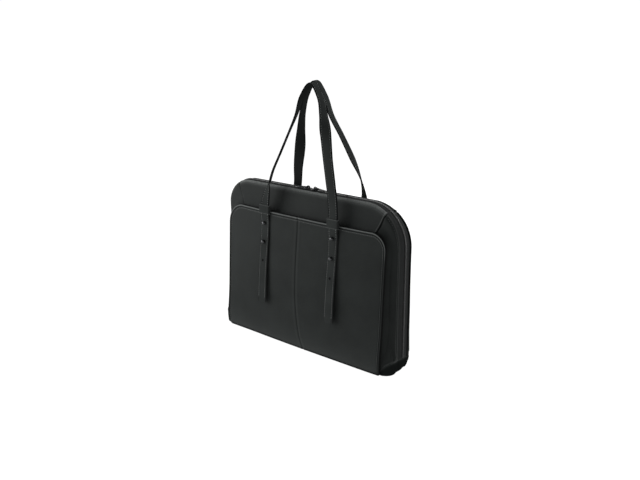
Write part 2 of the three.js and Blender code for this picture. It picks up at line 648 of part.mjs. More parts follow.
// Zip slider: a rounded plate on the chain with a bridge for the pull. Its hinge line lies at x = 0.
function slider() {
  const { length, width, thickness, tailChamfer, noseChamfer, noseWidth } = SLIDER;
  const plateShape = new THREE.Shape();
  plateShape.moveTo(-length / 2, -width / 2 + tailChamfer);
  plateShape.lineTo(-length / 2 + tailChamfer, -width / 2);
  plateShape.lineTo(length / 2 - noseChamfer, -width / 2);
  plateShape.lineTo(length / 2, -noseWidth / 2);
  plateShape.lineTo(length / 2, noseWidth / 2);
  plateShape.lineTo(length / 2 - noseChamfer, width / 2);
  plateShape.lineTo(-length / 2 + tailChamfer, width / 2);
  plateShape.lineTo(-length / 2, width / 2 - tailChamfer);
  const plate = new THREE.ExtrudeGeometry(plateShape, { depth: thickness, bevelEnabled: false });
  plate.translate(0, 0, SLIDER_TOP - thickness);
  const { halfLength, height, halfHole, holeHeight } = BRIDGE;
  const arch = new THREE.Shape();
  arch.moveTo(-halfLength, -BRIDGE_SUNK);
  arch.lineTo(-halfHole, -BRIDGE_SUNK);
  arch.lineTo(-halfHole, holeHeight);
  arch.lineTo(halfHole, holeHeight);
  arch.lineTo(halfHole, -BRIDGE_SUNK);
  arch.lineTo(halfLength, -BRIDGE_SUNK);
  arch.lineTo(halfLength, height * BRIDGE_SHOULDER);
  arch.lineTo(halfLength * BRIDGE_SHOULDER, height);
  arch.lineTo(-halfLength * BRIDGE_SHOULDER, height);
  arch.lineTo(-halfLength, height * BRIDGE_SHOULDER);
  const bridge = new THREE.ExtrudeGeometry(arch, { depth: BRIDGE.width, bevelEnabled: false });
  bridge.rotateX(Math.PI / 2).translate(0, BRIDGE.width / 2, SLIDER_TOP);
  return geometryOf(solid(plate).add(solid(bridge)));
}

// Zip pull, lying towards +X from its hinge line at the origin: a bar, an eye and a tab with a round end.
function pull() {
  const { length, width, neck, bar, eyeLength, eyeWidth } = PULL;
  const shape = new THREE.Shape();
  shape.moveTo(-bar / 2, -neck / 2);
  shape.lineTo(bar / 2 + eyeLength, -neck / 2);
  shape.lineTo(length - width / 2, -width / 2);
  shape.absarc(length - width / 2, 0, width / 2, -Math.PI / 2, Math.PI / 2, false);
  shape.lineTo(bar / 2 + eyeLength, neck / 2);
  shape.lineTo(-bar / 2, neck / 2);
  const eye = new THREE.Path();
  eye.moveTo(bar / 2, -eyeWidth / 2);
  eye.lineTo(bar / 2, eyeWidth / 2);
  eye.lineTo(bar / 2 + eyeLength, eyeWidth / 2);
  eye.lineTo(bar / 2 + eyeLength, -eyeWidth / 2);
  shape.holes.push(eye);
  const settings = { depth: bar, bevelEnabled: false, curveSegments: TAB_STEPS };
  return new THREE.ExtrudeGeometry(shape, settings).translate(0, 0, -bar / 2);
}

const bag = new THREE.Group();

// Adds a named piece, mirrored where a scale is given.
function add(name, geometry, material, scale = [1, 1, 1]) {
  const mesh = new THREE.Mesh(geometry, material);
  mesh.name = name;
  mesh.scale.set(...scale);
  bag.add(mesh);
  return mesh;
}

add("body_front", bodyWall(depthBehindPocket, FLOOR.thickness + GAP), leather);
const backPanel = withStudHoles(bodyWall(panelDepth, PANEL_BOTTOM), [-STRAP.spacing, STRAP.spacing]);
add("body_back", backPanel, leather, [1, -1, 1]);

// Pocket halves and gussets are made with x outwards and y to the front, and mirrored to their places
for (const [name, hand, mirror] of [["right", RIGHT, 1], ["left", LEFT, -1]]) {
  const pocket = withStudHoles(pocketHalf(hand), [STRAP.spacing]);
  add(`front_pocket_${name}`, pocket, leather, [mirror, 1, 1]);
  add(`gusset_front_${name}`, gusset("front", hand), leather, [mirror, 1, 1]);
  add(`gusset_back_${name}`, gusset("back", hand), leather, [mirror, -1, 1]);
}
add("base_panel", basePanel(), leather);

add("zip_tape_front", zipTape(), zipCloth);
add("zip_tape_back", zipTape(), zipCloth, [1, -1, 1]);
add("zip_chain", zipChain(), darkMetal);

add("handle_front", handle(-1, FRONT_ARCH), strapLeather);
add("handle_back", handle(1, BACK_ARCH), strapLeather);

// Keepers and studs, mirrored to the back
for (const [face, side] of [["front", -1], ["back", 1]]) {
  for (const [hand, x] of [["left", -STRAP.spacing], ["right", STRAP.spacing]]) {
    const lip = panelDepth(x, KEEPER.bottom) + KEEPER.seat;
    const loop = add(`keeper_${face}_${hand}`, keeper(), strapLeather, [1, -side, 1]);
    loop.position.set(x, side * lip, KEEPER.bottom);
    loop.rotation.x = side * Math.atan(DEPTH_LOST_PER_MM);
    for (const [level, z] of Object.entries(STUD_HEIGHTS)) {
      const button = add(`stud_${face}_${hand}_${level}`, stud(), darkMetal);
      button.position.set(x, side * panelDepth(x, z), z);
      button.rotation.x = side < 0 ? Math.PI : 0;
    }
  }
}

// The left slider and pull face left, the right ones face right
for (const [hand, direction] of [["left", -1], ["right", 1]]) {
  add(`zip_slider_${hand}`, slider(), darkMetal, [direction, 1, 1]).position.x = HINGE_X[hand];
  const tab = add(`zip_pull_${hand}`, pull(), darkMetal, [direction, 1, 1]);
  tab.position.set(HINGE_X[hand], 0, HINGE_Z);
  tab.rotation.y = direction * rad(PULL_DROOP);
}

export default bag;
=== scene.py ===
import bpy
import numpy as np
from bpy.props import FloatProperty, FloatVectorProperty, PointerProperty
from mathutils import Matrix


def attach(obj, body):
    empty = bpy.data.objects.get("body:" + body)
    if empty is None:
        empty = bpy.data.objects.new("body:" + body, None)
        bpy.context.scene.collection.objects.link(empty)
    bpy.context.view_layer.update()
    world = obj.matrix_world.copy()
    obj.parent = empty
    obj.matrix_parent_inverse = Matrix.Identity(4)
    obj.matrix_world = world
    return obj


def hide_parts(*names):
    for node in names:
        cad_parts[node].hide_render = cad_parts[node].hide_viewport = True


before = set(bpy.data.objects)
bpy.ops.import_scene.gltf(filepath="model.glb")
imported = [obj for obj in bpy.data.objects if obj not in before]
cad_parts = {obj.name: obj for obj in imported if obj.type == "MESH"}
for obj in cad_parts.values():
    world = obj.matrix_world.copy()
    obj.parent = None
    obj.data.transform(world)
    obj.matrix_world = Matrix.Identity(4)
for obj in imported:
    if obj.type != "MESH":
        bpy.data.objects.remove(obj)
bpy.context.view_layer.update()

bl_info = {
    "name": "Business bag",
    "version": (1, 0, 0),
    "blender": (4, 5, 0),
    "location": "View3D > Sidebar > Bag",
    "description": "Dresses the packed solids of a zipped leather business bag",
    "category": "Object",
}

# Panels: distance of their outer face from the middle plane, in metres
DEPTH_AT_BASE = 0.049
DEPTH_LOST = 0.049  # metres for each metre of height
EDGE_SETBACK = 0.0068
SETBACK_POWER = 2.5
FLATTER_BELOW = 0.090
BULGE_LOST_AT_BASE = 0.75
TUCK = 0.0045
TUCK_HEIGHT = 0.040
BELLY = 0.003
BELLY_MIDDLE = 0.140
BELLY_REACH = 0.060
PANEL_BOTTOM = 0.0003
POCKET_BACKING = 0.0026  # the pocket's leather and a clearance
WALL_BOTTOM = {"front": 0.0025, "back": PANEL_BOTTOM}
SEAM_OFFSET = -0.0024  # the pocket's centre seam lies a little left of the middle
SEAM_DRIFT = 0.017  # how far it wanders to the right at the bottom
SEAM_DRIFT_HEIGHT = 0.105

# Outlines seen from the front: half width, height and the radii of the right and left top corners
POCKET = {"half": 0.181, "height": 0.2345, "corner": (0.028, 0.038), "foot": (0.0045, 0.012)}
FRONT_EDGE = {"half": 0.179, "height": 0.233, "corner": (0.027, 0.037)}
LEATHER_RIM = {"half": 0.195, "height": 0.2754, "corner": (0.067, 0.0435)}
ZIP_RIM = {"half": 0.1965, "height": 0.2766, "corner": (0.068, 0.0445)}

# Slanting corner seams, right and left: angles round the corner arcs of the front edge and of the rim
SEAM_AT_FRONT_EDGE = (78.0, 86.0)
SEAM_AT_RIM = (54.5, 60.0)
RIM_TO_MIDDLE = {"top": 0.008, "side": 0.013}
CHAIN_HALF_WIDTH = 0.0022
CHAIN_PROUD = 0.0006

# Swelling of the leather between the front edge and the rim
SHOULDER = 6 / 7  # share of a section at which it swells most
ROLL = {"yoke": 0.0048, "seam": 0.0042}
SIDE_ROLL = {"front": 0.001, "back": 0.003}
FOOT_ROLL = {"front": 0.009, "back": -0.001}
FOOT_SHARE = 0.35
HEM_LIFT = 0.0108
HEM_LEAN = 0.66  # below 1 the hem's arch peaks nearer the front
GUSSET_FOOT = {"front_edge": 0.0026, "rim": 0.022}

# Base
FLOOR_HALF_DEPTH = 0.0407
FLOOR_END_HALF_DEPTH = 0.0384
FLOOR_THICKNESS = 0.0022
BASE_TURN = {"front": 0.0025, "back": 0.010}
BASE_TURN_FROM = (-0.4, 0.8)  # shares of the depth between which the turn grows
BASE_SHARE_OF_TURN = 0.6  # most of a turn that the leather's thickness may take
BASE_TURN_SHARE = 0.2
BASE_ZIP_SHARE = 1 / 3

# Straps, studs and keepers
STRAP_SPACING = 0.079
STRAP_SEAT = 0.0006
STRAP_TAPER = {"share": 0.95, "from": 0.250, "to": 0.330}  # the grip is narrower than the tails
TIP_RADIUS = 0.003  # of the corners at a tail's end
STUD_HEIGHTS = (0.2136, 0.180)
SPARE_HOLE = 0.146
HOLE_RADIUS = 0.0021
KEEPER = {"half": 0.012, "band": 0.0014, "height": 0.0156, "bottom": 0.230, "slack": 0.0005, "seat": 0.0007,
          "corner": 0.0011}
TAIL = np.array([
    # height, stand-off from the panel
    (0.069, 0.0055),
    (0.110, 0.0038),
    (0.146, 0.0018),
    (0.180, 0.0006),
    (0.2136, 0.0006),
    (0.230, 0.0026),
    (0.2456, 0.0026),
])
FRONT_ARCH = np.array([
    # x, y, z, turn about Z in degrees
    (-0.0760, -0.0350, 0.275, -28),
    (-0.0725, -0.0326, 0.289, -56),
    (-0.0685, -0.0300, 0.305, -57),
    (-0.0540, -0.0240, 0.340, -57),
    (-0.0400, -0.0175, 0.375, -57),
    (-0.0280, -0.0120, 0.405, -63),
    (-0.0165, -0.0100, 0.436, -74),
    (0.0055, -0.0098, 0.4588, -78),
    (0.0245, -0.0100, 0.436, -82),
    (0.0335, -0.0120, 0.405, -98),
    (0.0430, -0.0175, 0.375, -152),
    (0.0530, -0.0240, 0.340, -169),
    (0.0640, -0.0300, 0.305, -172),
    (0.0730, -0.0350, 0.275, -177),
])
BACK_ARCH = np.array([
    # x, y, z, turn about Z in degrees
    (-0.0700, 0.0350, 0.275, 179),
    (-0.0640, 0.0300, 0.305, 190),
    (-0.0540, 0.0240, 0.340, 222),
    (-0.0450, 0.0175, 0.375, 264),
    (-0.0360, 0.0120, 0.405, 279),
    (-0.0250, 0.0100, 0.435, 284),
    (-0.0045, 0.0098, 0.4605, 286),
    (0.0160, 0.0100, 0.438, 284),
    (0.0300, 0.0118, 0.405, 286),
    (0.0460, 0.0175, 0.375, 287),
    (0.0630, 0.0240, 0.340, 284),
    (0.0780, 0.0300, 0.305, 308),
    (0.0830, 0.0350, 0.275, 331),
])
HANDLES = (("front", -1, FRONT_ARCH), ("back", 1, BACK_ARCH))
STRAP_FACE = {"crown": 0.00035, "arris": 0.0003, "groove": 0.00035, "groove_width": 0.0005,
              "hole_floor": 0.0005}
SEWN_INSET = 0.0027  # from a strap's edge to its sewn line
HOLE_EDGE = (0.0004, -0.0003)  # where a hole's edge begins and ends, beside its radius
HOLE_SPAN = 0.36  # share of the half width that has the finer steps of the holes
HOLE_REACH = 0.0032
STRAP_SAMPLES = 6001  # of the curve through a strap's rows
STRAP_STATIONS = 340
EDGE_POINTS = 5  # round a strap's edge
UNDER_POINTS = 9  # across a strap's underside
STUD_SHANK = 0.0018
STUD_WASHER = {"radius": 0.0036, "chamfer": 0.0002, "rim": 0.0007, "thickness": 0.0008, "depth": 0.0011}
STUD_BALL_RISE = 0.0016
KEEPER_GROOVE = {"depth": 0.00028, "inset": 0.0022, "width": 0.0005}
STUD_CLEARANCE = 0.0003

# Zip sliders and pulls
SLIDER = {"length": 0.010, "width": 0.009, "thickness": 0.0022}
BRIDGE = {"half": 0.0034, "height": 0.0036, "width": 0.0024}
PULL = {"length": 0.023, "width": 0.007, "bar": 0.0014, "eye_length": 0.0056, "eye_width": 0.0034}
PLATE_POWER, ARCH_POWER = 0.45, 0.55  # below 1 the slider's plate and its bridge are squarer
PULL_DROOP = 5.0  # degrees by which a resting pull slopes down to the chain
HINGE_X = {"left": -0.012, "right": 0.004}
SLIDER_TOP = 0.2797
HINGE_Z = 0.28095
# Rounded edges, as steps of (inset, depth)
SLIDER_EDGE = ((0.0007, 0.0), (0.0002, 0.0002), (0.0, 0.0006))
PULL_EDGE = ((0.0006, 0.0), (0.00015, 0.00015), (0.0, 0.0005))
TOOTH = {"half": 0.00185, "height": 0.0011, "sink": 0.0006, "shift": 0.00045, "share_of_pitch": 0.42}
TAPE_RIDGE = {"height": 0.00025, "at": 0.55, "width": 0.12}

# Camera
CAMERA_PLACE = (0.90483, -0.99783, 0.56149)
CAMERA_YAW = 41.737
CAMERA_PITCH = 15.506
CAMERA_LENS = 45.0
CAMERA_SENSOR = 36.0
CAMERA_REACH = 60.0

# Surroundings, light table and lights
SKY_BRIGHT_SIDE = (-0.7, -0.6, 0.25)
SKY_BRIGHT = 0.40
SKY_DIM = 0.0
SKY_BLEND = (-0.6, 0.9)  # cosines towards the bright side between which the sky brightens
TABLE_GLOW = 0.97
TABLE_FLAT = 6.0  # radius of the level part
TABLE_BEND = 2.0  # radius of the upturned rim
TABLE_RUN = 9.1  # along the surface, from the middle to the top of the rim
TABLE_DROP = 0.0002  # how far the table lies under the bag
SOFTBOXES = (
    # name, place, point looked at, size, power in watts
    ("left_softbox", (-0.74, -0.62, 0.42), (-0.05, 0.0, 0.12), 0.75, 9.3),
    ("back_softbox", (0.3, 1.4, 1.6), (0.0, 0.0, 0.25), 1.2, 42),
    ("rear_softbox", (-0.5, 1.2, 0.4), (0.0, 0.0, 0.15), 0.75, 7.0),
)

# Relief of the leather
HEM = {"rise": 0.0007, "slope": 0.0014, "fold": 0.0008, "fold_at": 0.58, "fold_width": 0.0010,
       "groove": 0.0005, "groove_width": 0.0009}
HEM_SHARE = {"wall": 0.8, "gusset": 0.7}  # width of a hem beside the pocket's
CENTRE_SEAM = {"depth": 0.0008, "width": 0.0014, "welt": 0.0002, "welt_at": 0.0050, "welt_width": 0.0025}
SLANT_SEAM = {"ridge": 0.0011, "ridge_at": 0.0014, "ridge_width": 0.0010, "depth": 0.0008, "width": 0.0007}
LEFT_SEAM = 0.18  # strength of the left slanting seams beside the right ones
YOKE_SEAM = {"depth": 0.0008, "width": 0.0012}
GUSSET = {"foot_hem": 0.6, "seam": 0.0010, "seam_width": 0.0012, "crease": 0.0036, "crease_at": 0.26,
          "crease_width": 0.20, "fold": 0.0019, "fold_reach": 0.030, "wave": 0.0007}
LIP_FOLD = 0.6  # extra thickness of the folded lip, as a share of the leather
LIP_REACH = 0.06  # height below the lip over which it waves
WAVES = {
    # height, then two waves: turns along x and z in radians for each metre, and a phase
    "lip": (0.0008, (31, 0, 0.6), (17, 0, -0.4)),
    "pocket": (0.0007, (23, 9, 1.0), (-7, 19, 0.5)),
    "yoke": (0.0011, (27, 0, 0.9), (0, 52, 0.3)),
    "wall": (0.0006, (21, -8, 0.4), (6, 17, 0.0)),
}
GUSSET_FOLDS = (
    # strength, place at the foot as a share of the width, drift for each metre of height, width
    (1.0, 0.86, 2.0, 0.05),
    (0.8, 0.66, 4.0, 0.06),
    (-0.9, 0.76, 3.0, 0.05),
    (-0.5, 0.45, 4.0, 0.09),
)

# Wear, painted highlights and painted shade of the leather: how much, where 1 is mostly the light colour and
# below 0 is dark, and lengths in metres
# Pocket: painted highlights along the lip, on its sewn line and beside the centre seam, a painted reflection
# of the floor low down and painted shade in the lip's fold
POCKET_WEAR_AND_LIGHT = {"lip": 0.85, "fold": 0.75, "sewn": 0.30, "seam": 0.05, "low": 0.18}
POCKET_WEAR_AND_LIGHT_WIDTH = {"lip": 0.0021, "fold": 0.0010, "sewn": 0.0009, "seam": 0.002, "low": 0.018,
                     "side": 0.0013, "bottom": 0.0024}
SIDE_HIGHLIGHT = 0.06  # painted highlight of the pocket's sides beside its lip's
LIP_HIGHLIGHT_FROM = (0.165, 0.222)  # heights between which that grows
SEAM_HIGHLIGHT_AT = 0.004
# Body walls: painted highlight and painted shade on the slanting seams' ridge and groove, and a painted
# highlight along the yoke's rolled rim
WALL_PAINTED_LIGHT = {"seam": 0.35, "seam_at": 0.0018, "seam_width": 0.0011, "groove_width": 0.0009,
             "rim": 1.15, "rim_at": 0.0010, "rim_width": 0.0050}
# Gussets: lighter along the rim and the foot, and painted shade in the recess beside the body wall
GUSSET_WEAR_AND_SHADE = {"edge": 0.35, "edge_width": 0.0014, "front": 0.6, "front_width": 0.007}
BASE_WEAR = {"end": 0.4, "end_width": 0.0015}
STRAP_WEAR = {"edge": 0.14, "under": -0.5, "from": 0.250, "to": 0.235}
KEEPER_WEAR = {"face": 0.25, "edge": 0.8}

# Meshes
PANEL_SHARE = 0.6  # part of a body wall's rows below the yoke
GRIDS = {
    # columns, then rows: first and last parameter, steps and crowding towards both ends
    "pocket": ((0.0, 1.0, 110, 0.86), (0.02, 0.985, 130, 0.80)),
    "yoke": ((0.002, 0.998, 150, 0.80), (PANEL_SHARE, 0.996, 60, 0.75)),
    "gusset": ((0.003, 0.997, 140, 0.80), (0.02, 0.97, 44, 0.75)),
    "base": ((0.0, 1.0, 120, 0.85), (0.01, 0.99, 48, 0.5)),
}
PANEL_ROWS = 60  # of a body wall below the yoke
POCKET_MEETS = 0.9995  # how near the pocket's halves come to the centre seam
POCKET_CORNER_SHARE = 0.22  # part of the pocket's rows spent on each rounded corner
EDGE_STEPS = 4  # round the edge of a leather wall
STITCH_RINGS, STITCH_SIDES = 5, 6
TOOTH_RINGS, TOOTH_SIDES = 4, 8
SIDES = (("front", 1), ("back", -1))
HANDS = (("left", -1), ("right", 1))
INSIDE = np.array((0.0, 0.0, 0.13))  # a point inside the bag, from which outer faces look away
STEP = 1e-3  # parameter step for directions


def length_property(name, description, default, least):
    """A length in metres that a user can change."""
    return FloatProperty(name=name, description=description, default=default, min=least, unit="LENGTH")


class BagSizes(bpy.types.PropertyGroup):
    """Sizes that can be changed without moving the solids."""

    leather: length_property("Leather", "Thickness of a body panel", 0.002, 0.0005)
    tape: length_property("Zip tape", "Thickness of the zip tape", 0.0012, 0.0003)
    strap_width: length_property("Strap width", "Width of the handles", 0.020, 0.005)
    strap_thickness: length_property("Strap thickness", "Thickness of the handles", 0.0028, 0.001)
    hem: length_property("Hem width", "Distance from an edge to its sewn line", 0.0055, 0.002)
    stitch_pitch: length_property("Stitch pitch", "Distance from stitch to stitch", 0.0040, 0.001)
    stitch_length: length_property("Stitch length", "Visible length of a stitch", 0.0029, 0.0005)
    thread: length_property("Thread radius", "Radius of the sewing thread", 0.00032, 0.0001)
    tooth_pitch: length_property("Tooth pitch", "Distance from zip tooth to zip tooth", 0.0021, 0.001)
    stud_radius: length_property("Stud radius", "Radius of a stud's ball", 0.0033, 0.001)


def colour_property(name, description, default):
    """A linear colour that a user can change."""
    return FloatVectorProperty(name=name, description=description, default=default, size=3,
                               min=0.0, max=1.0, subtype="COLOR")


class BagColours(bpy.types.PropertyGroup):
    """Colours of the finishes."""

    leather: colour_property("Leather", "Grained leather of the body", (0.0141, 0.0158, 0.0153))
    # Darker copy of the body leather: painted shade of the base, which faces the floor
    base: colour_property("Base", "Dull leather of the base", (0.0068, 0.0079, 0.0076))
    strap: colour_property("Strap", "Smooth leather of the handles", (0.0216, 0.0235, 0.0229))
    edge: colour_property("Edge paint", "Painted edges of the handles", (0.0080, 0.0086, 0.0085))
    # Light colour for rubbing on edges and for painted highlights alike
    wear_and_light: colour_property("Worn edge", "Leather where edges have rubbed", (0.115, 0.122, 0.119))
    thread: colour_property("Thread", "Sewing thread", (0.050, 0.0535, 0.0525))
    tape: colour_property("Zip tape", "Woven zip tape", (0.0205, 0.0222, 0.0218))
    teeth: colour_property("Zip teeth", "Zip teeth", (0.010, 0.0108, 0.0108))
    metal: colour_property("Metal", "Dark nickel of the studs", (0.060, 0.061, 0.064))
    blackened: colour_property("Blackened metal", "Metal of sliders and pulls", (0.018, 0.0185, 0.0195))
    floor: colour_property("Floor", "Light table under the bag", (0.12, 0.12, 0.12))


def lerp(a, b, share):
    """Straight blend from a to b."""
    return a + (b - a) * share


def smooth(low, high, value):
    """Smooth step: 0 below low, 1 above high, a cubic between them."""
    t = np.clip((value - low) / (high - low), 0.0, 1.0)
    return t * t * (3 - 2 * t)


def bell(value, centre, width):
    """Bell curve of height 1 about centre."""
    return np.exp(-(((value - centre) / width) ** 2))


def unit(vectors):
    """Vectors scaled to length 1."""
    return vectors / np.maximum(np.linalg.norm(vectors, axis=-1, keepdims=True), 1e-12)


def stack(x, y, z):
    """Points from three arrays of coordinates."""
    return np.stack(np.broadcast_arrays(x, y, z), axis=-1).astype(float)


def eased(steps, pull):
    """Parameters from 0 to 1, closer together near both ends: t less a sine wave of one period."""
    t = np.linspace(0.0, 1.0, steps + 1)
    return t - pull * np.sin(2 * np.pi * t) / (2 * np.pi)


def crowded(kind):
    """The columns and the rows of a piece's grid."""
    return [lerp(first, last, eased(steps, pull)) for first, last, steps, pull in GRIDS[kind]]


def grid(us, vs):
    """Two parameter grids from two lists of parameters."""
    return np.meshgrid(us, vs, indexing="ij")


def ring(index):
    """A grid of point numbers with its first column repeated at the end."""
    return np.concatenate([index, index[:, :1]], axis=1)


def strips(index):
    """Four-cornered faces between neighbouring rows and columns of a grid of point numbers."""
    corners = [index[:-1, :-1], index[1:, :-1], index[1:, 1:], index[:-1, 1:]]
    return np.stack(corners, axis=-1).reshape(-1, 4)


def run_of(path):
    """Distance along a path at each of its points."""
    return np.concatenate([[0], np.cumsum(np.linalg.norm(np.diff(path, axis=0), axis=1))])


def read_at(run, rows, spots):
    """Rows of three numbers, read at distances along a path."""
    return np.stack([np.interp(spots, run, rows[:, k]) for k in range(3)], axis=-1)


def heading_at(run, path, spots, reach):
    """Direction of a path at distances along it, from points that lie reach before and after."""
    return unit(read_at(run, path, spots + reach) - read_at(run, path, spots - reach))


def panel_depth(x, z):
    """A straight lean with a belly, less a tuck at the bottom and a setback that grows to the sides."""
    lean = DEPTH_AT_BASE - DEPTH_LOST * z
    tuck = TUCK * np.maximum(0, 1 - z / TUCK_HEIGHT) ** 2
    bulge = 1 - BULGE_LOST_AT_BASE * np.maximum(0, 1 - z / FLATTER_BELOW) ** 2
    share = np.abs(x) / FRONT_EDGE["half"]
    belly = BELLY * bell(z, BELLY_MIDDLE, BELLY_REACH) * np.maximum(0, 1 - share**2)
    return lean - tuck + belly - EDGE_SETBACK * bulge * share**SETBACK_POWER


def depth_behind_pocket(x, z):
    """The pocket's depth at its side edges, less the leather and a clearance, all the way across."""
    return panel_depth(np.full_like(x, POCKET["half"]), z) - POCKET_BACKING


DEPTHS = {"front": depth_behind_pocket, "back": panel_depth}


def corner_of(outline, x):
    """Corner radius on the side of x."""
    return np.where(np.asarray(x) >= 0, outline["corner"][0], outline["corner"][1])


def top_of(outline, x):
    """Height of an outline's top edge at x: level, then a quarter circle."""
    corner = corner_of(outline, x)
    past = np.maximum(0, np.abs(x) - (outline["half"] - corner))
    return outline["height"] - corner + np.sqrt(np.maximum(0, corner**2 - past**2))


def facing_of(outline, x):
    """Direction of an outline's top edge at x, as an angle from +X: 90 degrees on the level part."""
    corner = corner_of(outline, x)
    past = np.maximum(0, np.abs(x) - (outline["half"] - corner))
    angle = np.pi / 2 - np.arcsin(np.clip(past / corner, 0, 1))
    return np.where(np.asarray(x) >= 0, angle, np.pi - angle)


def side_run(outline, left, bottom, degrees, q):
    """Up one side of an outline, straight and then round its corner, as q goes from 0 to 1."""
    corner = outline["corner"][left]
    straight = outline["height"] - corner - bottom
    run = q * (straight + corner * np.radians(degrees))
    angle = np.maximum(0, run - straight) / corner
    x = outline["half"] - corner + corner * np.cos(angle)
    z = np.minimum(bottom + run, outline["height"] - corner) + corner * np.sin(angle)
    return x, z, angle


def whole_run(outline, bottom, q):
    """Round a whole outline: up the right side, over the top and down the left side."""
    lengths = [outline["height"] - c - bottom + c * np.pi / 2 for c in outline["corner"]]
    level = 2 * outline["half"] - sum(outline["corner"])
    total = lengths[0] + level + lengths[1]
    run = q * total
    right = side_run(outline, 0, bottom, 90, np.minimum(run / lengths[0], 1))
    left = side_run(outline, 1, bottom, 90, np.minimum((total - run) / lengths[1], 1))
    on_right = run <= lengths[0]
    on_left = run >= lengths[0] + level
    x = outline["half"] - outline["corner"][0] - (run - lengths[0])
    x = np.where(on_right, right[0], np.where(on_left, -left[0], x))
    z = np.where(on_right, right[1], np.where(on_left, left[1], outline["height"]))
    angle = np.where(on_right, right[2], np.where(on_left, np.pi - left[2], np.pi / 2))
    return x, z, angle


def rim_to_middle(angle):
    """Distance of the leather's rim from the middle plane: less on the top than on the sides."""
    return lerp(RIM_TO_MIDDLE["side"], RIM_TO_MIDDLE["top"], np.sin(angle) ** 2)


def shoulder(w):
    """Swelling from 0 over 1 to 0: flat at first, fullest at six sevenths, and round at the end."""
    return w**3 * np.sqrt(np.maximum(0, 1 - w)) / (SHOULDER**3 * (1 - SHOULDER) ** 0.5)


def swollen(front, rim, along, w, swell):
    """Straight from front to rim as w goes from 0 to 1, pushed out by the swelling."""
    span = rim - front
    outward = unit(np.cross(span, along))
    return front + span * w[..., None] + outward * swell[..., None]


def gusset_face(u, v, side, left):
    """Front right gusset: u climbs from the base to the slanting seam, v goes from the body wall to the
    rim. Each row is a swollen section; at the foot the base holds it out and the hem arches up."""
    def edges(q):
        x, z, _ = side_run(FRONT_EDGE, left, GUSSET_FOOT["front_edge"], SEAM_AT_FRONT_EDGE[left], q)
        front = stack(x, -DEPTHS[side](x, z), z)
        x, z, angle = side_run(LEATHER_RIM, left, GUSSET_FOOT["rim"], SEAM_AT_RIM[left], q)
        return front, stack(x, -rim_to_middle(angle), z)
    front, rim = edges(u)
    along = edges(u + STEP)[1] - edges(u - STEP)[1]
    foot = np.maximum(0, 1 - u / FOOT_SHARE) ** 2
    roll = lerp(SIDE_ROLL[side], ROLL["seam"], np.clip(u, 0, 1) ** 4)
    swell = roll * shoulder(v) + FOOT_ROLL[side] * foot * 4 * v * (1 - v)
    points = swollen(front, rim, along, v, swell)
    points[..., 2] += HEM_LIFT * foot * np.sin(np.pi * np.clip(v, 0, 1) ** HEM_LEAN)
    return points


def body_face(u, v, side):
    """Front body wall: below PANEL_SHARE a panel that climbs from the base to the front edge, above it a
    yoke, each section of which swells between the front edge and the rim. u goes from right to left."""
    depth, bottom = DEPTHS[side], WALL_BOTTOM[side]
    def seam_x(outline, degrees):
        pairs = zip(outline["corner"], degrees)
        return [outline["half"] - c + c * np.cos(np.radians(d)) for c, d in pairs]
    def half_at(rise, left):
        corner = FRONT_EDGE["corner"][left]
        start = FRONT_EDGE["height"] - corner
        level = lerp(bottom, start + corner * np.sin(np.radians(SEAM_AT_FRONT_EDGE[left])), rise)
        past = np.maximum(0, level - start)
        return FRONT_EDGE["half"] - corner + np.sqrt(corner**2 - past**2)
    front_x = seam_x(FRONT_EDGE, SEAM_AT_FRONT_EDGE)
    rim_x = seam_x(LEATHER_RIM, SEAM_AT_RIM)
    def front_edge(q):
        x = lerp(front_x[0], -front_x[1], q)
        z = top_of(FRONT_EDGE, x)
        return stack(x, -depth(x, z), z)
    def rim_edge(q):
        x = lerp(rim_x[0], -rim_x[1], q)
        return stack(x, -rim_to_middle(facing_of(LEATHER_RIM, x)), top_of(LEATHER_RIM, x))
    rise = np.clip(v / PANEL_SHARE, 0, 1)
    x = lerp(half_at(rise, 0), -half_at(rise, 1), u)
    z = lerp(bottom, front_edge(u)[..., 2], rise)
    panel = stack(x, -depth(x, z), z)
    along = rim_edge(u + STEP) - rim_edge(u - STEP)
    w = np.clip((v - PANEL_SHARE) / (1 - PANEL_SHARE), 0, 1)
    roll = lerp(ROLL["yoke"], ROLL["seam"], (2 * u - 1) ** 2)
    yoke = swollen(front_edge(u), rim_edge(u), along, w, roll * shoulder(w))
    return np.where((v <= PANEL_SHARE)[..., None], panel, yoke)


def seam_drift(z):
    """Where the centre seam runs at height z."""
    return SEAM_OFFSET + SEAM_DRIFT * np.maximum(0, 1 - z / SEAM_DRIFT_HEIGHT) ** 2


def pocket_face(u, v, left):
    """One half of the pocket: z climbs the outline, corners included, as v goes from 0 to 1, x goes
    from the outline's half width to the centre seam as u goes from 0 to 1, and y is the panel's depth."""
    corner, foot, share = POCKET["corner"][left], POCKET["foot"][left], POCKET_CORNER_SHARE
    low, high = PANEL_BOTTOM + foot, POCKET["height"] - corner
    bottom_angle = np.pi / 2 * np.clip(v / share, 0, 1)
    top_angle = np.pi / 2 * np.clip((v - 1 + share) / share, 0, 1)
    z = lerp(low, high, np.clip((v - share) / (1 - 2 * share), 0, 1))
    z = z - foot * np.cos(bottom_angle) + corner * np.sin(top_angle)
    half = POCKET["half"] - foot * (1 - np.sin(bottom_angle)) - corner * (1 - np.cos(top_angle))
    x = lerp(-half if left else half, seam_drift(z), u)
    return stack(x, -panel_depth(x, z), z)


def pocket_edge_distance(x, z):
    """Distance from the pocket's side and top edges, measured squarely, round corners included."""
    corner = corner_of(POCKET, x)
    across = np.abs(x) - (POCKET["half"] - corner)
    up = z - (POCKET["height"] - corner)
    outside = np.hypot(np.maximum(across, 0), np.maximum(up, 0))
    return corner - outside - np.minimum(np.maximum(across, up), 0)


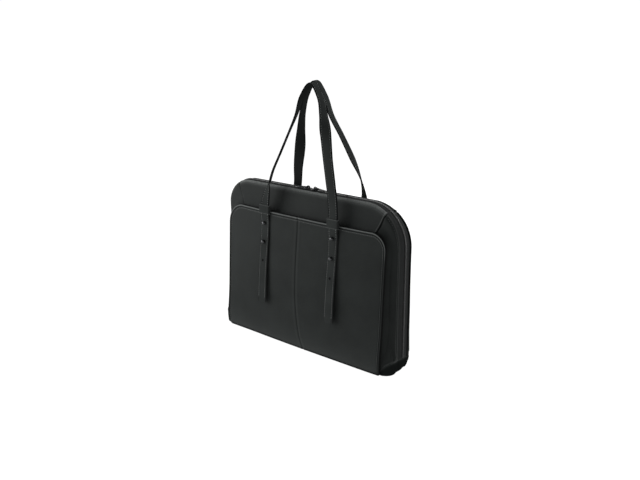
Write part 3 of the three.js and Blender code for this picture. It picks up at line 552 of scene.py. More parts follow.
def base_seam(across):
    """Top edge of the base's end, by share of the depth: along the gussets' feet and past the zip."""
    share = np.abs(across)
    side = np.where(across < 0, -1.0, 1.0)
    w = np.clip((1 - share) / (1 - BASE_ZIP_SHARE), 0, 1)
    zero = np.zeros_like(w)
    front = gusset_face(zero, w, "front", 0)
    back = gusset_face(zero, w, "back", 0)
    end = np.where((across < 0)[..., None], front, back)
    end[..., 1] = side * np.minimum(-end[..., 1], FLOOR_END_HALF_DEPTH)
    near = np.clip(share / BASE_ZIP_SHARE, 0, 1)
    middle = stack(lerp(ZIP_RIM["half"], LEATHER_RIM["half"], near), side * RIM_TO_MIDDLE["side"] * near,
                   np.full_like(near, GUSSET_FOOT["rim"]))
    return np.where((share <= BASE_ZIP_SHARE)[..., None], middle, end)


def base_turn(across):
    """Reach of the base's upturned ends along X: short at the front, longer at the back."""
    return lerp(BASE_TURN["front"], BASE_TURN["back"], smooth(*BASE_TURN_FROM, across))


def base_face(u, v):
    """A flat floor whose ends turn up by a quarter ellipse. u runs along X, v across the depth."""
    across = 2 * v - 1
    end = base_seam(across)
    turn = np.minimum(base_turn(across), end[..., 2])
    side = np.where(u < 0.5, -1.0, 1.0)
    from_end = np.minimum(u, 1 - u)
    angle = np.pi / 2 * np.maximum(0, 1 - from_end / BASE_TURN_SHARE)
    flat = np.maximum(0, from_end - BASE_TURN_SHARE) / (0.5 - BASE_TURN_SHARE)
    x = (end[..., 0] - turn) * (1 - flat) + turn * np.sin(angle)
    y = lerp(across * FLOOR_HALF_DEPTH, end[..., 1], (x / end[..., 0]) ** 4)
    return stack(side * x, y, end[..., 2] * (1 - np.cos(angle)))


def tape_face(u, v):
    """Front zip tape: u runs round the outline, v goes straight from the leather's rim to the chain."""
    rim_x, rim_z, angle = whole_run(LEATHER_RIM, GUSSET_FOOT["rim"], u)
    chain_x, chain_z, _ = whole_run(ZIP_RIM, GUSSET_FOOT["rim"], u)
    y = lerp(-rim_to_middle(angle), -CHAIN_HALF_WIDTH, v)
    return stack(lerp(rim_x, chain_x, v), y, lerp(rim_z, chain_z, v))


def normals_of(points):
    """Unit normals of a grid, turned so that most of them look away from the inside of the bag."""
    du = np.gradient(points, axis=0)
    dv = np.gradient(points, axis=1)
    normals = unit(np.cross(du, dv))
    return normals if np.sum(normals * (points - INSIDE)) > 0 else -normals


def edge_distances(points):
    """Distances along the grid lines to the first and last column and to the first and last row."""
    across = np.linalg.norm(np.diff(points, axis=0), axis=-1)
    along = np.linalg.norm(np.diff(points, axis=1), axis=-1)
    a = np.concatenate([np.zeros_like(across[:1]), np.cumsum(across, axis=0)], axis=0)
    b = np.concatenate([np.zeros_like(along[:, :1]), np.cumsum(along, axis=1)], axis=1)
    return a, a[-1:] - a, b, b[:, -1:] - b


def hem_relief(distance, width):
    """Folded edge: a raised band as wide as the hem, with a fold along its middle and a sewn groove."""
    band = HEM["rise"] * (1 - smooth(width - HEM["slope"], width, distance))
    fold = HEM["fold"] * bell(distance, HEM["fold_at"] * width, HEM["fold_width"])
    return band - fold - HEM["groove"] * bell(distance, width, HEM["groove_width"])


def waves(kind, x, z):
    """Slack in the leather: two sine waves of x and z multiplied, times a height."""
    height, first, second = WAVES[kind]
    for along_x, along_z, phase in (first, second):
        height = height * np.sin(along_x * x + along_z * z + phase)
    return height


def shell(plain, relief, thickness, wear_and_light):
    """Closed leather wall: a plain grid moved out along its normals by the relief, the same grid moved in by
    the thickness, and between their borders a half circle carried all the way round, darkened as edge paint
    that also stands in for painted shade along the edges. What would hang below the floor is pressed flat on
    it. Returns points, four-cornered faces and the lightening and darkening marks."""
    m, n = plain.shape[:2]
    normals = normals_of(plain)
    outer = plain + normals * np.broadcast_to(relief, (m, n))[..., None]
    inner = plain - normals * np.broadcast_to(thickness, (m, n))[..., None]
    i = np.concatenate([np.arange(m), np.full(n - 1, m - 1),
                        np.arange(m - 2, -1, -1), np.zeros(n - 2, int)])
    j = np.concatenate([np.zeros(m, int), np.arange(1, n),
                        np.full(m - 1, n - 1), np.arange(n - 2, 0, -1)])
    border = outer[i, j]
    middle = (border + inner[i, j]) / 2
    upright = border - middle
    along = np.roll(border, -1, axis=0) - np.roll(border, 1, axis=0)
    away = unit(np.cross(along, upright))
    from_inside = border - outer[np.clip(i, 1, m - 2), np.clip(j, 1, n - 2)]
    away = away * np.where(np.sum(away * from_inside, axis=-1, keepdims=True) < 0, -1.0, 1.0)
    away = away * np.linalg.norm(upright, axis=-1, keepdims=True)
    angles = (np.pi * np.arange(1, EDGE_STEPS) / EDGE_STEPS)[:, None, None]
    rings = middle + np.cos(angles) * upright + np.sin(angles) * away
    points = np.concatenate([outer.reshape(-1, 3), inner.reshape(-1, 3), rings.reshape(-1, 3)])
    points[:, 2] = np.maximum(points[:, 2], 0.0)
    index = np.arange(m * n).reshape(m, n)
    quads = strips(index)
    ring_index = 2 * m * n + np.arange((EDGE_STEPS - 1) * len(i)).reshape(EDGE_STEPS - 1, -1)
    loops = np.concatenate([index[i, j][None], ring_index, index[i, j][None] + m * n])
    rim = np.roll(strips(ring(loops)), 1, axis=1)
    faces = np.concatenate([quads, quads[:, ::-1] + m * n, rim])
    first = np.cross(outer[1, 0] - outer[0, 0], outer[0, 1] - outer[0, 0])
    if first @ normals[0, 0] < 0:
        faces = faces[:, ::-1]
    # Border rings at -1: dark edge paint, which also serves as painted shade along the edges
    tone_marks = np.concatenate([wear_and_light.ravel(), np.zeros(m * n), np.full((EDGE_STEPS - 1) * len(i), -1.0)])
    return points, faces, tone_marks


def carried(profile, centres, across, outward, closed):
    """A closed profile of (across, outward) pairs carried along a path; an open path gets flat ends."""
    if profile.ndim == 2:
        profile = np.broadcast_to(profile, (len(centres),) + profile.shape)
    points = centres[:, None] + profile[..., :1] * across[:, None] + profile[..., 1:] * outward[:, None]
    m, n = points.shape[:2]
    index = np.arange(m * n).reshape(m, n)
    rows = np.concatenate([index, index[:1]]) if closed else index
    faces = strips(ring(rows)).tolist()
    if not closed:
        faces += [index[0].tolist(), index[-1, ::-1].tolist()]
    return points.reshape(-1, 3), outward_faces(points.reshape(-1, 3), faces)


def outward_faces(points, faces):
    """The faces of a closed mesh, turned round if its signed volume is below zero."""
    lengths = np.array([len(f) for f in faces])
    volume = 0.0
    for sides in np.unique(lengths):
        corners = points[np.array([f for f in faces if len(f) == sides])]
        for k in range(1, sides - 1):
            volume += np.sum(np.cross(corners[:, 0], corners[:, k]) * corners[:, k + 1])
    return faces if volume > 0 else [list(f)[::-1] for f in faces]


def revolved(profile, steps):
    """A profile of (radius, height) pairs turned about Z, with its first and last points on the axis."""
    angle = np.linspace(0, 2 * np.pi, steps, endpoint=False)
    radius, height = profile[1:-1, :1], profile[1:-1, 1:]
    points = stack(radius * np.cos(angle), radius * np.sin(angle), height + 0 * angle)
    m = len(radius)
    index = np.arange(m * steps).reshape(m, steps)
    nxt = np.roll(index, -1, axis=1)
    faces = strips(ring(index).T).tolist()
    low, high = m * steps, m * steps + 1
    faces += np.stack([np.full(steps, low), nxt[0], index[0]], axis=-1).tolist()
    faces += np.stack([np.full(steps, high), index[-1], nxt[-1]], axis=-1).tolist()
    poles = np.array([(0, 0, profile[0, 1]), (0, 0, profile[-1, 1])])
    points = np.concatenate([points.reshape(-1, 3), poles])
    return points, outward_faces(points, faces)


def layered(outline, layers):
    """A convex outline of (x, y) pairs stacked in layers of (inset, height), with flat ends."""
    centre = outline.mean(axis=0)
    arms = outline - centre
    reach = np.linalg.norm(arms, axis=1, keepdims=True)
    rings = [np.column_stack([centre + arms * (1 - inset / reach), np.full(len(outline), height)])
             for inset, height in layers]
    points = np.concatenate(rings)
    index = np.arange(len(points)).reshape(len(layers), -1)
    faces = strips(ring(index).T).tolist()
    faces += [index[0, ::-1].tolist(), index[-1].tolist()]
    return points, outward_faces(points, faces)


def rounded_box_path(half_x, half_y, radius, steps):
    """Closed path round a rectangle with round corners, with its outward directions."""
    angle = np.linspace(0, np.pi / 2, steps + 1)
    quarters = np.arange(4)[:, None] * np.pi / 2 + angle
    signs = np.array([(1, 1), (-1, 1), (-1, -1), (1, -1)])[:, None, :]
    outward = np.stack([np.cos(quarters), np.sin(quarters)], axis=-1)
    points = signs * np.array((half_x - radius, half_y - radius)) + radius * outward
    return points.reshape(-1, 2), outward.reshape(-1, 2)


def joined(*parts):
    """Several sets of points and faces as one."""
    points = np.concatenate([p for p, _ in parts])
    offsets = np.cumsum([0] + [len(p) for p, _ in parts[:-1]])
    faces = [[k + int(offset) for k in f] for (_, fs), offset in zip(parts, offsets) for f in fs]
    return points, faces


def spaced(path, pitch, margin):
    """Points at even steps along a path, the direction of the path there and their distances along it."""
    run = run_of(path)
    count = max(2, int((run[-1] - 2 * margin) / pitch))
    spots = np.linspace(margin, run[-1] - margin, count)
    return read_at(run, path, spots), heading_at(run, path, spots, 2e-4), spots


def spindles(places, along, outward, length, radius):
    """Stitches: at each place a six-sided spindle whose radius swells along it and whose ends dip in."""
    t = np.linspace(-1, 1, STITCH_RINGS)[:, None]
    angle = np.linspace(0, 2 * np.pi, STITCH_SIDES, endpoint=False)[None]
    size = radius * np.sqrt(1 - 0.9 * t**2)
    dip = radius * 1.3 * t**2
    local = stack(t * length / 2 + 0 * angle, size * np.cos(angle), size * np.sin(angle) - dip)
    local = local.reshape(1, -1, 3)
    side = unit(np.cross(outward, along))
    points = (places[:, None] + local[..., :1] * along[:, None] + local[..., 1:2] * side[:, None]
              + local[..., 2:] * outward[:, None]).reshape(-1, 3)
    count = STITCH_RINGS * STITCH_SIDES
    quads = strips(ring(np.arange(count).reshape(STITCH_RINGS, STITCH_SIDES)))
    ends = np.array([(0, 1, 2, 3), (0, 3, 4, 5), (27, 26, 25, 24), (29, 28, 27, 24)])
    faces = np.concatenate([quads, ends])[None] + count * np.arange(len(places))[:, None, None]
    return points, outward_faces(points, faces.reshape(-1, 4).tolist())


def place_piece(name, points, faces, material, slot, nodes=(), body="bag", wear_and_light=None, uv=None,
                edging=None):
    """Makes a mesh object from arrays, rides it on its body and hides the solids that it stands for. edging
    is a second material and the faces that have it."""
    mesh = bpy.data.meshes.new(name)
    mesh.from_pydata(points.tolist(), [], faces if isinstance(faces, list) else faces.tolist())
    mesh.polygons.foreach_set("use_smooth", np.ones(len(mesh.polygons), bool))
    tone_marks = mesh.attributes.new("wear_and_light", "FLOAT", "POINT")
    tone_marks.data.foreach_set("value", (np.zeros(len(points)) if wear_and_light is None else wear_and_light).astype(np.float32))
    if uv is not None:
        corners = np.zeros(len(mesh.loops), np.int32)
        mesh.loops.foreach_get("vertex_index", corners)
        mesh.uv_layers.new(name="weave").data.foreach_set("uv", uv[corners].astype(np.float32).ravel())
    mesh.materials.append(material)
    if edging is not None:
        mesh.materials.append(edging[0])
        mesh.polygons.foreach_set("material_index", edging[1].astype(np.int32))
    mesh.update()
    piece = bpy.data.objects.new(name, mesh)
    bpy.context.scene.collection.objects.link(piece)
    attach(piece, body)
    if nodes:
        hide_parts(*nodes)
    return piece


def mirrored(points, faces, signs):
    """Points and faces mirrored in X or Y; an odd number of mirrors turns the faces round."""
    turned = np.prod(signs) < 0
    flipped = [f[::-1] for f in faces] if isinstance(faces, list) else faces[:, ::-1]
    return points * np.array(signs), flipped if turned else faces


class Finish:
    """Builds one procedural material step by step."""

    def __init__(self, name):
        self.material = bpy.data.materials.new(name)
        self.material.use_nodes = True
        self.nodes = self.material.node_tree.nodes
        self.links = self.material.node_tree.links
        self.shader = self.nodes["Principled BSDF"]
        self.coordinates = self.nodes.new("ShaderNodeTexCoord")

    def add(self, kind, inputs=None, **settings):
        """A node with its settings, and inputs that are values or other nodes' outputs."""
        node = self.nodes.new(kind)
        for key, value in settings.items():
            setattr(node, key, value)
        for key, value in (inputs or {}).items():
            if isinstance(value, bpy.types.NodeSocket):
                self.links.new(value, node.inputs[key])
            else:
                node.inputs[key].default_value = value
        return node

    def place(self, scale=(1, 1, 1)):
        """Object coordinates, stretched."""
        inputs = {"Vector": self.coordinates.outputs["Object"], "Scale": scale}
        return self.add("ShaderNodeMapping", inputs).outputs["Vector"]

    def noise(self, vector, scale, detail=3.0, roughness=0.55):
        """Soft noise between 0 and 1."""
        inputs = {"Vector": vector, "Scale": scale, "Detail": detail, "Roughness": roughness}
        return self.add("ShaderNodeTexNoise", inputs).outputs["Fac"]

    def spread(self, value, low, high, to_low, to_high):
        """Value mapped from one range to another."""
        inputs = {"Value": value, "From Min": low, "From Max": high, "To Min": to_low, "To Max": to_high}
        return self.add("ShaderNodeMapRange", inputs).outputs["Result"]

    def mix(self, share, a, b):
        """Colour between a and b by share."""
        node = self.add("ShaderNodeMix", data_type="RGBA")
        for socket, value in ((node.inputs[0], share), (node.inputs[6], a), (node.inputs[7], b)):
            if isinstance(value, bpy.types.NodeSocket):
                self.links.new(value, socket)
            else:
                socket.default_value = value
        return node.outputs[2]

    def sum(self, a, b, operation="ADD"):
        """Two numbers put together."""
        return self.add("ShaderNodeMath", {0: a, 1: b}, operation=operation).outputs["Value"]

    def bump(self, height, strength, distance):
        """Surface relief from a height."""
        inputs = {"Height": height, "Strength": strength, "Distance": distance}
        node = self.add("ShaderNodeBump", inputs)
        self.links.new(node.outputs["Normal"], self.shader.inputs["Normal"])

    def wear_and_light(self):
        """How much a spot is lightened, by rubbing and by painted highlights; below 0 it is dark, by edge
        paint and by painted shade.
        """
        return self.add("ShaderNodeAttribute", attribute_name="wear_and_light").outputs["Fac"]

    def set(self, **inputs):
        """Shader inputs: values go on the socket, outputs are linked."""
        for key, value in inputs.items():
            socket = self.shader.inputs[key.replace("_", " ")]
            if isinstance(value, bpy.types.NodeSocket):
                self.links.new(value, socket)
            else:
                socket.default_value = value
        return self.material


def tinted(colour, share=1.0):
    """A property's colour as four numbers, the first three multiplied by share."""
    return tuple(min(1.0, c * share) for c in colour) + (1.0,)


def leather_finish(name, colour, wear_and_light, grain, relief, roughness, gloss):
    """Leather: fine pebbles and creases as relief, cloudy tone, lighter edges from rubbing and painted
    highlights, dark edge paint and painted shade, and uneven gloss.
    """
    finish = Finish(name)
    place = finish.place()
    pebbles = finish.add("ShaderNodeTexVoronoi", {"Vector": place, "Scale": grain}).outputs["Distance"]
    creases = finish.noise(place, grain * 0.45, 5.0, 0.62)
    cloud = finish.noise(place, 26.0, 4.0)
    patches = finish.noise(place, 7.0, 2.0)
    tone = finish.mix(finish.spread(cloud, 0.3, 0.7, 0, 1), tinted(colour, 0.86), tinted(colour, 1.16))
    tone = finish.mix(finish.spread(patches, 0.35, 0.7, 0, 0.35), tone, tinted(colour, 1.30))
    tone_marks = finish.wear_and_light()
    # Share of the light colour: rubbing and painted highlights
    lightened = finish.sum(tone_marks, finish.spread(creases, 0.3, 0.7, 0.55, 1.0), "MULTIPLY")
    # Below 0, toward a quarter of the colour: edge paint and painted shade
    tone = finish.mix(finish.sum(tone_marks, -1.0, "MULTIPLY"), tone, tinted(colour, 0.25))
    finish.bump(finish.sum(pebbles, finish.sum(creases, 0.9, "MULTIPLY")), relief, 0.00035)
    return finish.set(
        Base_Color=finish.mix(lightened, tone, tinted(wear_and_light)),
        Roughness=finish.spread(finish.sum(cloud, creases), 0.6, 1.4, roughness - 0.07, roughness + 0.08),
        Specular_IOR_Level=gloss,
    )


def woven_finish(name, colour):
    """Woven tape: ribs across it and threads along it as relief on the piece's own map."""
    finish = Finish(name)
    along = finish.coordinates.outputs["UV"]
    ribs = finish.add("ShaderNodeTexWave", {"Vector": along, "Scale": 320.0, "Distortion": 0.4},
                      bands_direction="X").outputs["Fac"]
    threads = finish.add("ShaderNodeTexWave", {"Vector": along, "Scale": 520.0, "Distortion": 0.3},
                         bands_direction="Y").outputs["Fac"]
    weave = finish.sum(ribs, threads, "MULTIPLY")
    finish.bump(weave, 0.6, 0.0003)
    fuzz = finish.noise(finish.place(), 900.0, 2.0)
    return finish.set(Base_Color=finish.mix(finish.sum(weave, fuzz, "MULTIPLY"), tinted(colour, 0.7),
                                            tinted(colour, 1.7)),
                      Roughness=finish.spread(fuzz, 0.3, 0.7, 0.72, 0.9), Specular_IOR_Level=0.1)


def metal_finish(name, colour):
    """Dark plated metal: faint brushing, small pits and clouded gloss."""
    finish = Finish(name)
    brushed = finish.noise(finish.place((60, 900, 900)), 6.0, 3.0)
    cloud = finish.noise(finish.place(), 420.0, 3.0)
    finish.bump(brushed, 0.08, 0.0001)
    return finish.set(Base_Color=finish.mix(cloud, tinted(colour, 0.7), tinted(colour, 1.25)), Metallic=1.0,
                      Roughness=finish.spread(brushed, 0.3, 0.7, 0.22, 0.36))


def moulded_finish(name, colour):
    """Satin moulded plastic: faint unevenness in tone and gloss."""
    finish = Finish(name)
    cloud = finish.noise(finish.place(), 700.0, 2.0)
    finish.bump(cloud, 0.12, 0.0001)
    return finish.set(Base_Color=finish.mix(cloud, tinted(colour, 0.75), tinted(colour, 1.3)),
                      Roughness=finish.spread(cloud, 0.3, 0.7, 0.34, 0.48))


def thread_finish(name, colour, light):
    """Twisted thread: fine ribs as relief and a dull tone that varies from stitch to stitch."""
    finish = Finish(name)
    cloud = finish.noise(finish.place(), 160.0, 2.0)
    twist = finish.noise(finish.place(), 2600.0, 1.0)
    finish.bump(twist, 0.3, 0.0001)
    tone = finish.mix(cloud, tinted(colour, 0.8 * light), tinted(colour, 1.4 * light))
    return finish.set(Base_Color=tone, Roughness=finish.spread(twist, 0.3, 0.7, 0.55, 0.75))


def finish_of(context, name):
    """The named finish, made the first time that it is asked for."""
    if name in bpy.data.materials:
        return bpy.data.materials[name]
    colours = context.scene.bag_colours
    makers = {
        # a leather's last four values are its grain, relief, roughness and gloss
        "grained_leather": (leather_finish, colours.leather, colours.wear_and_light, 820.0, 0.35, 0.55, 0.04),
        "base_leather": (leather_finish, colours.base, colours.wear_and_light, 820.0, 0.35, 0.62, 0.0),
        "strap_leather_finish": (leather_finish, colours.strap, colours.wear_and_light, 1150.0, 0.22, 0.55, 0.0),
        "edge_paint": (leather_finish, colours.edge, colours.wear_and_light, 1150.0, 0.10, 0.60, 0.0),
        "woven_tape": (woven_finish, colours.tape),
        "zip_teeth_finish": (moulded_finish, colours.teeth),
        "dark_nickel": (metal_finish, colours.metal),
        "black_nickel": (metal_finish, colours.blackened),
        "sewing_thread": (thread_finish, colours.thread, 1.0),
        # A lighter thread for the straps, which also serves as a painted highlight of the stitches catching
        # the light
        "strap_thread": (thread_finish, colours.thread, 2.2),
    }
    maker, *values = makers[name]
    return maker(name, *values)


def pocket_relief(x, z, hem):
    """Hem along the side and top edges, a sewn-in centre seam, a lip that waves and a slack face."""
    edge = pocket_edge_distance(x, z)
    seam = np.abs(x - seam_drift(z))
    relief = hem_relief(edge, hem) - CENTRE_SEAM["depth"] * bell(seam, 0, CENTRE_SEAM["width"])
    relief += CENTRE_SEAM["welt"] * bell(seam, CENTRE_SEAM["welt_at"], CENTRE_SEAM["welt_width"])
    relief += waves("lip", x, z) * smooth(LIP_REACH, 0.0, POCKET["height"] - z)
    return relief + waves("pocket", x, z) * smooth(0, 0.03, edge)


def pocket_wear_and_light(x, z, hem):
    """Painted highlights along the lip, on its sewn line and on the welt beside the centre seam; a painted
    reflection of the floor low down; painted shade in the lip's fold; darker along the sides and at the
    bottom."""
    much, wide = POCKET_WEAR_AND_LIGHT, POCKET_WEAR_AND_LIGHT_WIDTH
    edge = pocket_edge_distance(x, z)
    lip = lerp(SIDE_HIGHLIGHT, 1.0, smooth(*LIP_HIGHLIGHT_FROM, z))
    # Painted highlight along the lip and, lower down, on its sewn line
    wear_and_light = much["lip"] * lip * np.exp(-((edge / wide["lip"]) ** 4))
    # Painted shade in the lip's fold
    wear_and_light -= much["fold"] * bell(edge, hem * HEM["fold_at"], wide["fold"])
    wear_and_light += much["sewn"] * lip * bell(edge, hem, wide["sewn"])
    # Painted highlight on the welt beside the centre seam
    wear_and_light += much["seam"] * bell(np.abs(x - seam_drift(z)), SEAM_HIGHLIGHT_AT, wide["seam"])
    # Painted reflection of the floor: lighter low down, where the pocket turns under
    wear_and_light += much["low"] * np.exp(-z / wide["low"]) * smooth(0.001, 0.006, z)
    return wear_and_light - (1 - lip) * bell(edge, 0, wide["side"]) - bell(z, 0, wide["bottom"])


class BAG_OT_front_pocket(bpy.types.Operator):
    """Both halves of the slip pocket, with hems and a centre seam"""

    bl_idname = "bag.front_pocket"
    bl_label = "Front pocket"

    def execute(self, context):
        sizes = context.scene.bag_sizes
        u, v = grid(*crowded("pocket"))
        for left, hand in enumerate(("right", "left")):
            face = pocket_face(lerp(sizes.leather / 2 / POCKET["half"], POCKET_MEETS, u), v, left)
            x, z = face[..., 0], face[..., 2]
            edge = pocket_edge_distance(x, z)
            relief = pocket_relief(x, z, sizes.hem)
            wear_and_light = pocket_wear_and_light(x, z, sizes.hem)
            thickness = sizes.leather * (1 + LIP_FOLD * (1 - smooth(0.5 * sizes.hem, sizes.hem, edge)))
            points, faces, wear_and_light = shell(face, relief, thickness, wear_and_light)
            place_piece(f"pocket_half_{hand}", points, faces, finish_of(context, "grained_leather"),
                        "body_leather", [f"front_pocket_{hand}"], wear_and_light=wear_and_light)
        return {"FINISHED"}


def wall_relief(points, v, hem, plain):
    """Yoke with a folded rim, ridged slanting seams and soft dents; a plain wall has a seam under its yoke.
    Returns also the distances from the sides and the rim, where the yoke is and its seams' strength."""
    first, last, _, rim = edge_distances(points)
    side = np.minimum(first, last)
    yoke = smooth(PANEL_SHARE - 0.01, PANEL_SHARE + 0.01, v)
    x, z = points[..., 0], points[..., 2]
    sewn_in = yoke * np.where(x > 0, 1.0, LEFT_SEAM)
    ridge = SLANT_SEAM["ridge"] * bell(side, SLANT_SEAM["ridge_at"], SLANT_SEAM["ridge_width"])
    groove = SLANT_SEAM["depth"] * bell(side, 0, SLANT_SEAM["width"])
    relief = hem_relief(rim, hem * HEM_SHARE["wall"]) + sewn_in * (ridge - groove)
    relief += yoke * waves("yoke", x, z) * smooth(0, 0.02, rim) + (1 - yoke) * waves("wall", x, z)
    if plain:
        relief -= YOKE_SEAM["depth"] * bell(z, FRONT_EDGE["height"], YOKE_SEAM["width"])
    return relief, side, rim, yoke, sewn_in


class BAG_OT_body_walls(bpy.types.Operator):
    """Front and back walls of the body, each with its yoke"""

    bl_idname = "bag.body_walls"
    bl_label = "Body walls"

    def execute(self, context):
        sizes, tone_marks = context.scene.bag_sizes, WALL_PAINTED_LIGHT
        columns, yoke_rows = crowded("yoke")
        panel_rows = np.linspace(0, PANEL_SHARE, PANEL_ROWS, endpoint=False)
        u, v = grid(columns, np.concatenate([panel_rows, yoke_rows]))
        for side, sign in SIDES:
            face = body_face(u, v, side)
            relief, edge, rim, yoke, sewn_in = wall_relief(face, v, sizes.hem, side == "back")
            # Painted highlight on the slanting seams' ridge, painted shade in their groove
            ridge = bell(edge, tone_marks["seam_at"], tone_marks["seam_width"])
            wear_and_light = tone_marks["seam"] * sewn_in * (ridge - bell(edge, 0, tone_marks["groove_width"]))
            # Painted highlight along the yoke's rolled rim
            wear_and_light += tone_marks["rim"] * yoke * bell(rim, tone_marks["rim_at"], tone_marks["rim_width"])
            points, faces, wear_and_light = shell(face, relief, sizes.leather, wear_and_light)
            points, faces = mirrored(points, faces, (1, sign, 1))
            place_piece(f"body_wall_{side}", points, faces, finish_of(context, "grained_leather"),
                        "body_leather", [f"body_{side}"], wear_and_light=wear_and_light)
        return {"FINISHED"}


def gusset_relief(points, hem, left):
    """Folded rim and foot, a pulled-in slanting seam, a soft crease up the middle and folds at the foot.
    Returns also the distances from the foot, the body wall and the rim."""
    foot, seam, front, rim = edge_distances(points)
    share = front / (front + rim)
    hem = hem * HEM_SHARE["gusset"]
    relief = hem_relief(rim, hem) + GUSSET["foot_hem"] * hem_relief(foot, hem)
    relief -= GUSSET["seam"] * (LEFT_SEAM if left else 1.0) * bell(seam, 0, GUSSET["seam_width"])
    crease = GUSSET["crease"] * bell(share, GUSSET["crease_at"], GUSSET["crease_width"])
    relief -= crease * smooth(0.0, 0.04, foot) * smooth(0.0, 0.07, seam)
    fade = np.exp(-foot / GUSSET["fold_reach"]) * smooth(0.0, 0.006, foot)
    for strength, at, drift, width in GUSSET_FOLDS:
        relief += GUSSET["fold"] * fade * strength * bell(share, at - drift * foot, width)
    wave = np.sin(38 * points[..., 2] + 5 * share) * np.sin(np.pi * share)
    return relief + GUSSET["wave"] * wave * smooth(0.02, 0.06, foot), foot, front, rim


class BAG_OT_gussets(bpy.types.Operator):
    """The four side gussets"""

    bl_idname = "bag.gussets"
    bl_label = "Gussets"

    def execute(self, context):
        sizes, tone_marks = context.scene.bag_sizes, GUSSET_WEAR_AND_SHADE
        u, v = grid(*crowded("gusset"))
        for side, y_sign in SIDES:
            for left, hand in enumerate(("right", "left")):
                face = gusset_face(u, v, side, left)
                relief, foot, front, rim = gusset_relief(face, sizes.hem, left)
                lightened = np.exp(-rim / tone_marks["edge_width"]) + np.exp(-foot / tone_marks["edge_width"])
                # Painted shade in the recess beside the body wall
                wear_and_light = tone_marks["edge"] * lightened - tone_marks["front"] * np.exp(-front / tone_marks["front_width"])
                points, faces, wear_and_light = shell(face, relief, sizes.leather, wear_and_light)
                points, faces = mirrored(points, faces, (-1 if left else 1, y_sign, 1))
                place_piece(f"side_gusset_{side}_{hand}", points, faces,
                            finish_of(context, "grained_leather"), "body_leather",
                            [f"gusset_{side}_{hand}"], wear_and_light=wear_and_light)
        return {"FINISHED"}


class BAG_OT_base(bpy.types.Operator):
    """The base with its turned-up ends"""

    bl_idname = "bag.base"
    bl_label = "Base"

    def execute(self, context):
        u, v = grid(*crowded("base"))
        face = base_face(u, v)
        first, last, _, _ = edge_distances(face)
        wear_and_light = BASE_WEAR["end"] * np.exp(-np.minimum(first, last) / BASE_WEAR["end_width"])
        thickness = np.minimum(FLOOR_THICKNESS, BASE_SHARE_OF_TURN * base_turn(2 * v - 1))
        points, faces, wear_and_light = shell(face, 0.0, thickness, wear_and_light)
        place_piece("base_floor", points, faces, finish_of(context, "base_leather"), "body_leather",
                    ["base_panel"], wear_and_light=wear_and_light)
        return {"FINISHED"}


def tooth_rows(pitch):
    """Closed zip teeth: at even steps round the outline a rounded block across the seam, shifted by turns
    to either side; each block is an eight-sided section carried across in four steps."""
    q = np.linspace(0, 1, 1200)
    x, z, angle = whole_run(ZIP_RIM, GUSSET_FOOT["rim"], q)
    path = stack(x + CHAIN_PROUD * np.cos(angle), 0 * x, z + CHAIN_PROUD * np.sin(angle))
    places, along, spots = spaced(path, pitch, pitch)
    turn = np.interp(spots / run_of(path)[-1], q, angle)
    outward = stack(np.cos(turn), 0 * turn, np.sin(turn))
    around = np.linspace(0, 2 * np.pi, TOOTH_SIDES, endpoint=False) + np.pi / TOOTH_SIDES
    across = np.array((-1.0, -0.82, 0.82, 1.0))[:, None] * TOOTH["half"]
    size = np.array((0.7, 1.0, 1.0, 0.7))[:, None]
    section = stack(TOOTH["share_of_pitch"] * pitch * size * np.cos(around), across + 0 * around,
                    TOOTH["height"] * size * np.sin(around) - TOOTH["sink"]).reshape(1, -1, 3)
    shift = np.where(np.arange(len(places)) % 2, TOOTH["shift"], -TOOTH["shift"])[:, None, None]
    points = places[:, None] + section[..., :1] * along[:, None] + section[..., 2:] * outward[:, None]
    points = (points + (section[..., 1:2] + shift) * np.array((0.0, 1.0, 0.0))).reshape(-1, 3)
    count = TOOTH_RINGS * TOOTH_SIDES
    quads = strips(ring(np.arange(count).reshape(TOOTH_RINGS, TOOTH_SIDES)).T)
    ends = np.array([(0, 3, 2, 1), (0, 5, 4, 3), (0, 7, 6, 5),
                     (24, 25, 26, 27), (24, 27, 28, 29), (24, 29, 30, 31)])
    faces = np.concatenate([quads, ends])[None] + count * np.arange(len(places))[:, None, None]
    return points, outward_faces(points, faces.reshape(-1, 4).tolist())


class BAG_OT_zip(bpy.types.Operator):
    """Zip tapes and closed teeth"""

    bl_idname = "bag.zip"
    bl_label = "Zip"

    def execute(self, context):
        sizes = context.scene.bag_sizes
        u, v = grid(np.linspace(0.0006, 0.9994, 361), np.linspace(-0.10, 0.97, 9))
        face = tape_face(u, v)
        lengths = edge_distances(face)
        ridge = TAPE_RIDGE["height"] * bell(v, TAPE_RIDGE["at"], TAPE_RIDGE["width"])
        points, faces, wear_and_light = shell(face, ridge, sizes.tape, 0 * u)
        flat = np.stack([lengths[0], lengths[2]], axis=-1).reshape(-1, 2)
        border = len(points) - 2 * len(flat)
        uv = np.concatenate([flat, flat, np.zeros((border, 2))])
        for side, sign in SIDES:
            made, turned = mirrored(points, faces, (1, sign, 1))
            place_piece(f"tape_{side}", made, turned, finish_of(context, "woven_tape"), "zip_tape",
                        [f"zip_tape_{side}"], wear_and_light=wear_and_light, uv=uv)
        points, faces = tooth_rows(sizes.tooth_pitch)
        place_piece("teeth", points, faces, finish_of(context, "zip_teeth_finish"), "zip_teeth",
                    ["zip_chain"])
        return {"FINISHED"}


